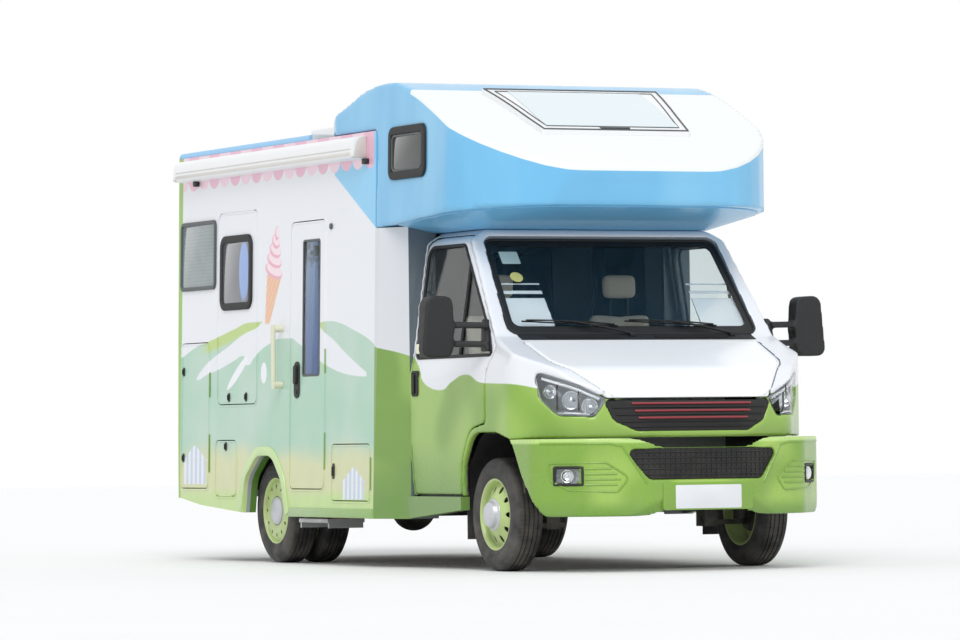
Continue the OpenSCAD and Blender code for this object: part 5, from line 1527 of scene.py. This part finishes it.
# %% Roof fittings
units_skin = moulded("roof_units", 0.011, 5)
settle(units_skin, "roof_units_skin", moulding_mat, "truck", 60)
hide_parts("roof_units")
lids = []
for x, y, wide, deep, tall in ((box_rear + 0.700, 0, 0.62, 0.56, 0.150),
                               (box_rear + 1.750, 0, 0.52, 0.48, 0.170)):
    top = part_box("roof_units")[1].z if tall == 0.170 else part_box("roof")[1].z + tall
    lids.append(plate(rounded(x - wide / 2 + 0.05, y - deep / 2 + 0.05, x + wide / 2 - 0.05,
                              y + deep / 2 - 0.05, 0.06), "Z", top - 0.004, top + 0.008, 0.006))
    for k in range(5):
        lids.append(block((x - wide / 2 + 0.12 + k * 0.05, y - 0.14, top + 0.004),
                          (x - wide / 2 + 0.14 + k * 0.05, y + 0.14, top + 0.014), 0.004))
settle(joined(lids), "roof_unit_lids", moulding_mat, "truck")
pane_line = [(axle_x - 0.785, -0.600), (axle_x - 0.785, 0.600), (axle_x - 0.130, 0.495),
             (axle_x - 0.130, -0.495)]
inner_line = [(axle_x - 0.740, -0.545), (axle_x - 0.740, 0.545), (axle_x - 0.180, 0.455),
              (axle_x - 0.180, -0.455)]
frames = []
for line, radius in ((pane_line, 0.006), (inner_line, 0.004)):
    points = along_line(line + line[:1], 20)[:-1]
    frames.append(rod(traced("skylight", [(x, y, 3.6) for x, y in points], (0, 0, -1), 0.0015), radius,
                      closed=True))
settle(joined(frames), "skylight_seals", frame_grey_mat, "truck", 50)
sky_pane = draped("skylight", (axle_x - 0.738, -0.46, 3.6), (axle_x - 0.182, 0.46, 3.6), (24, 30),
                  (0, 0, -1), 0.003, 0.003)
settle(sky_pane, "skylight_pane", finish("milky skylight pane", srgb("D9E6EC"), 0.15, 0.05, 0.08, 0, 0.01,
                                         30, coat_weight=0.6), "truck", 50)
grip_rod = draped("skylight", (axle_x - 0.168, -0.10, 3.6), (axle_x - 0.142, 0.10, 3.6), (3, 10),
                  (0, 0, -1), 0.006, 0.008)
settle(grip_rod, "skylight_grip", frame_grey_mat, "truck", 50)

# %% [markdown]
# ## The awning's case
# The case is a long extrusion, so its ends are closed by caps of the same section. Two thin rails along
# the front show where the roller's lid meets the body.

# %% Awning
case_low, case_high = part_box("awning_case")
case_points = [(case_low.y + 0.002, 2.600), (case_low.y + 0.006, 2.640), (case_low.y + 0.022, 2.700),
               (case_low.y + 0.045, 2.728),
               (case_low.y + 0.075, case_high.z - 0.001), (case_high.y, case_high.z - 0.001),
               (case_high.y, case_low.z + 0.004),
               (case_low.y + 0.020, case_low.z + 0.008)]
cap_spans = ((case_low.x - 0.006, case_low.x + 0.045), (case_high.x - 0.045, case_high.x + 0.006))
caps = [plate(case_points, "X", x0, x1, 0.006) for x0, x1 in cap_spans]
settle(joined(caps), "awning_caps", finish("warm grey cap", srgb("CFCBC4"), 0.4, 0.1, 0.1, 0.1, 0.05, 90),
       "truck")
rails = [block((case_low.x + 0.05, case_low.y - 0.004, 2.612),
               (case_high.x - 0.05, case_low.y + 0.004, 2.634), 0.003),
         block((case_low.x + 0.05, case_low.y - 0.001, 2.652),
               (case_high.x - 0.05, case_low.y + 0.006, 2.657), 0.001)]
settle(joined(rails), "awning_rails", finish("awning rail", srgb("D8D4CF"), 0.35, 0.1, 0.1, 0.1, 0.03, 90),
       "truck")
brackets = [block((x - 0.03, -half_w(2.57) - 0.030, 2.555), (x + 0.03, -half_w(2.57), 2.590),
                  0.006) for x in (case_low.x + 0.25, case_high.x + 0.02)]
settle(joined(brackets), "awning_brackets", black_mat, "truck")

# %% [markdown]
# ## Rear plate and high lamps
# The rear wall carries a blank plate in a black frame, and three small red marker lamps under the roof.

# %% Rear end
rear_lamp_low, rear_lamp_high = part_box("tail_lamps")
print("tail lamps", [round(v, 3) for v in (*rear_lamp_low, *rear_lamp_high)])
rear_plate = plate(rounded(-0.22, 0.80, 0.22, 0.94, 0.008), "X", box_rear - 0.008, box_rear + 0.001, 0.0015)
settle(rear_plate, "rear_plate_blank", plate_mat, "truck")
plate_frame = ring(rounded(-0.235, 0.785, 0.235, 0.955, 0.015),
                   rounded(-0.215, 0.805, 0.215, 0.935,
                           0.006), "X", box_rear - 0.010, box_rear + 0.001, 0.002)
settle(plate_frame, "rear_plate_frame", black_mat, "truck")
high_lamps = [plate(rounded(y - 0.05, 2.62, y + 0.05, 2.65, 0.012), "X", box_rear - 0.008,
                    box_rear + 0.001, 0.004) for y in (-0.85, 0.0, 0.85)]
settle(joined(high_lamps), "high_marker_lamps", red_mat, "truck")

# %% [markdown]
# ## Seats
# The two seats are upholstered: cushion, back and headrest are separate pads. A pad starts as a slightly
# small rounded block, remeshed to small cells, and cloth pressure crowns it.

# %% Seats
def pad(low, high, tilt, cells):
    """Crowned pad: a block turned back by an angle about its foot, remeshed and puffed by cloth."""
    piece = block(low, high, 0.035, 4)
    modify(piece, "REMESH", mode="VOXEL", voxel_size=cells, adaptivity=0)
    lone(piece)
    before = [vertex.co.copy() for vertex in piece.data.vertices]
    cloth = piece.modifiers.new("Cloth", "CLOTH")
    cloth.settings.use_pressure = True
    cloth.settings.uniform_pressure_force = 3.0
    cloth.settings.effector_weights.gravity = 0.0
    cloth.point_cache.frame_start, cloth.point_cache.frame_end = 1, 12
    for frame_number in range(1, 13):
        bpy.context.scene.frame_set(frame_number)
    bpy.ops.object.modifier_apply(modifier=cloth.name)
    bpy.context.scene.frame_set(1)
    for vertex, rest in zip(piece.data.vertices, before):
        move = vertex.co - rest
        vertex.co = rest + move.normalized() * min(move.length, 0.016) if move.length else rest
    modify(piece, "SMOOTH", factor=0.5, iterations=3)
    foot = Vector(((low[0] + high[0]) / 2, (low[1] + high[1]) / 2, low[2]))
    pivot = Matrix.Translation(foot)
    lone(piece)
    piece.matrix_world = pivot @ Matrix.Rotation(math.radians(tilt), 4, "Y") @ pivot.inverted()
    bpy.ops.object.transform_apply(location=True, rotation=True, scale=True)
    return piece


seat_x, seat_y = cab_rear + 0.110, 0.430
seat_parts = (("seat_cushion", (seat_x + 0.055, 0.215, 0.965), (seat_x + 0.505, 0.645, 1.055), -2.0, 0.011),
              ("seat_back", (seat_x + 0.005, 0.220, 1.080), (seat_x + 0.105, 0.640, 1.590), -9.0, 0.011),
              ("seat_headrest", (seat_x - 0.055, 0.320, 1.690), (seat_x + 0.030, 0.540, 1.835), -3.0, 0.009))
for side, word in ((1, "left"), (-1, "right")):
    for name, low, high, tilt, cells in seat_parts:
        lo, hi = (low, high) if side == 1 else ((low[0], -high[1], low[2]), (high[0], -low[1], high[2]))
        settle(pad(lo, hi, tilt, cells), name + "_" + word, fabric_mat, "truck", 60)
bases = []
for y in (-seat_y, seat_y):
    bases.append(block((seat_x + 0.070, y - 0.19, 0.722), (seat_x + 0.440, y + 0.19, 0.950), 0.012))
    bases += [rod([(seat_x - 0.015, y + dy, 1.50), (seat_x - 0.012, y + dy, 1.72)],
                  0.007) for dy in (-0.06, 0.06)]
seat_base = joined(bases)
settle(seat_base, "seat_bases", satin_black_mat, "truck")
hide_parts("seats")
print("seats done")

# %% [markdown]
# ## Light and floor
# A pale floor and an overcast sky: one broad soft sun, and a world that is white to the camera, in
# mirror-like surfaces and through glass, while it lights the truck more gently.

# %% Light and stage
world = bpy.data.worlds.new("overcast")
bpy.context.scene.world = world
world.use_nodes = True
sky_recipe = Recipe(world.node_tree)
background = world.node_tree.nodes["Background"]
background.inputs["Color"].default_value = (0.97, 0.985, 1.0, 1)
background.inputs["Strength"].default_value = 0.66
plain = sky_recipe.add("ShaderNodeBackground", {"Color": (1, 1, 1, 1), "Strength": 1.0})
rays = sky_recipe.add("ShaderNodeLightPath")
clear_view = sky_recipe.either(rays.outputs["Is Camera Ray"], rays.outputs["Is Glossy Ray"],
                               rays.outputs["Is Transmission Ray"])
chooser = sky_recipe.add("ShaderNodeMixShader",
                         {0: clear_view, 1: background.outputs[0], 2: plain.outputs[0]})
world.node_tree.links.new(chooser.outputs[0], world.node_tree.nodes["World Output"].inputs[0])
bpy.ops.object.light_add(type="SUN", rotation=(math.radians(38), math.radians(22), math.radians(35)))
sun = bpy.context.object
sun.data.energy, sun.data.angle = 1.6, math.radians(35)

lone()
bpy.ops.mesh.primitive_plane_add(size=120, location=(0, 0, 0))
floor = bpy.context.object
floor.name = "studio_floor"
pale_floor_mat = bpy.data.materials.new("pale floor")
pale_floor_mat.use_nodes = True
floor_recipe = Recipe(pale_floor_mat.node_tree)
floor_shader = pale_floor_mat.node_tree.nodes["Principled BSDF"]
floor_spot = floor_recipe.add("ShaderNodeTexCoord").outputs["Object"]
floor_tint = floor_recipe.mix(floor_recipe.noise(floor_spot, 0.6, 4), (0.93, 0.93, 0.93, 1),
                              (0.96, 0.96, 0.96, 1))
pale_floor_mat.node_tree.links.new(floor_tint, floor_shader.inputs["Base Color"])
floor_shader.inputs["Roughness"].default_value = 0.9
floor.data.materials.append(pale_floor_mat)
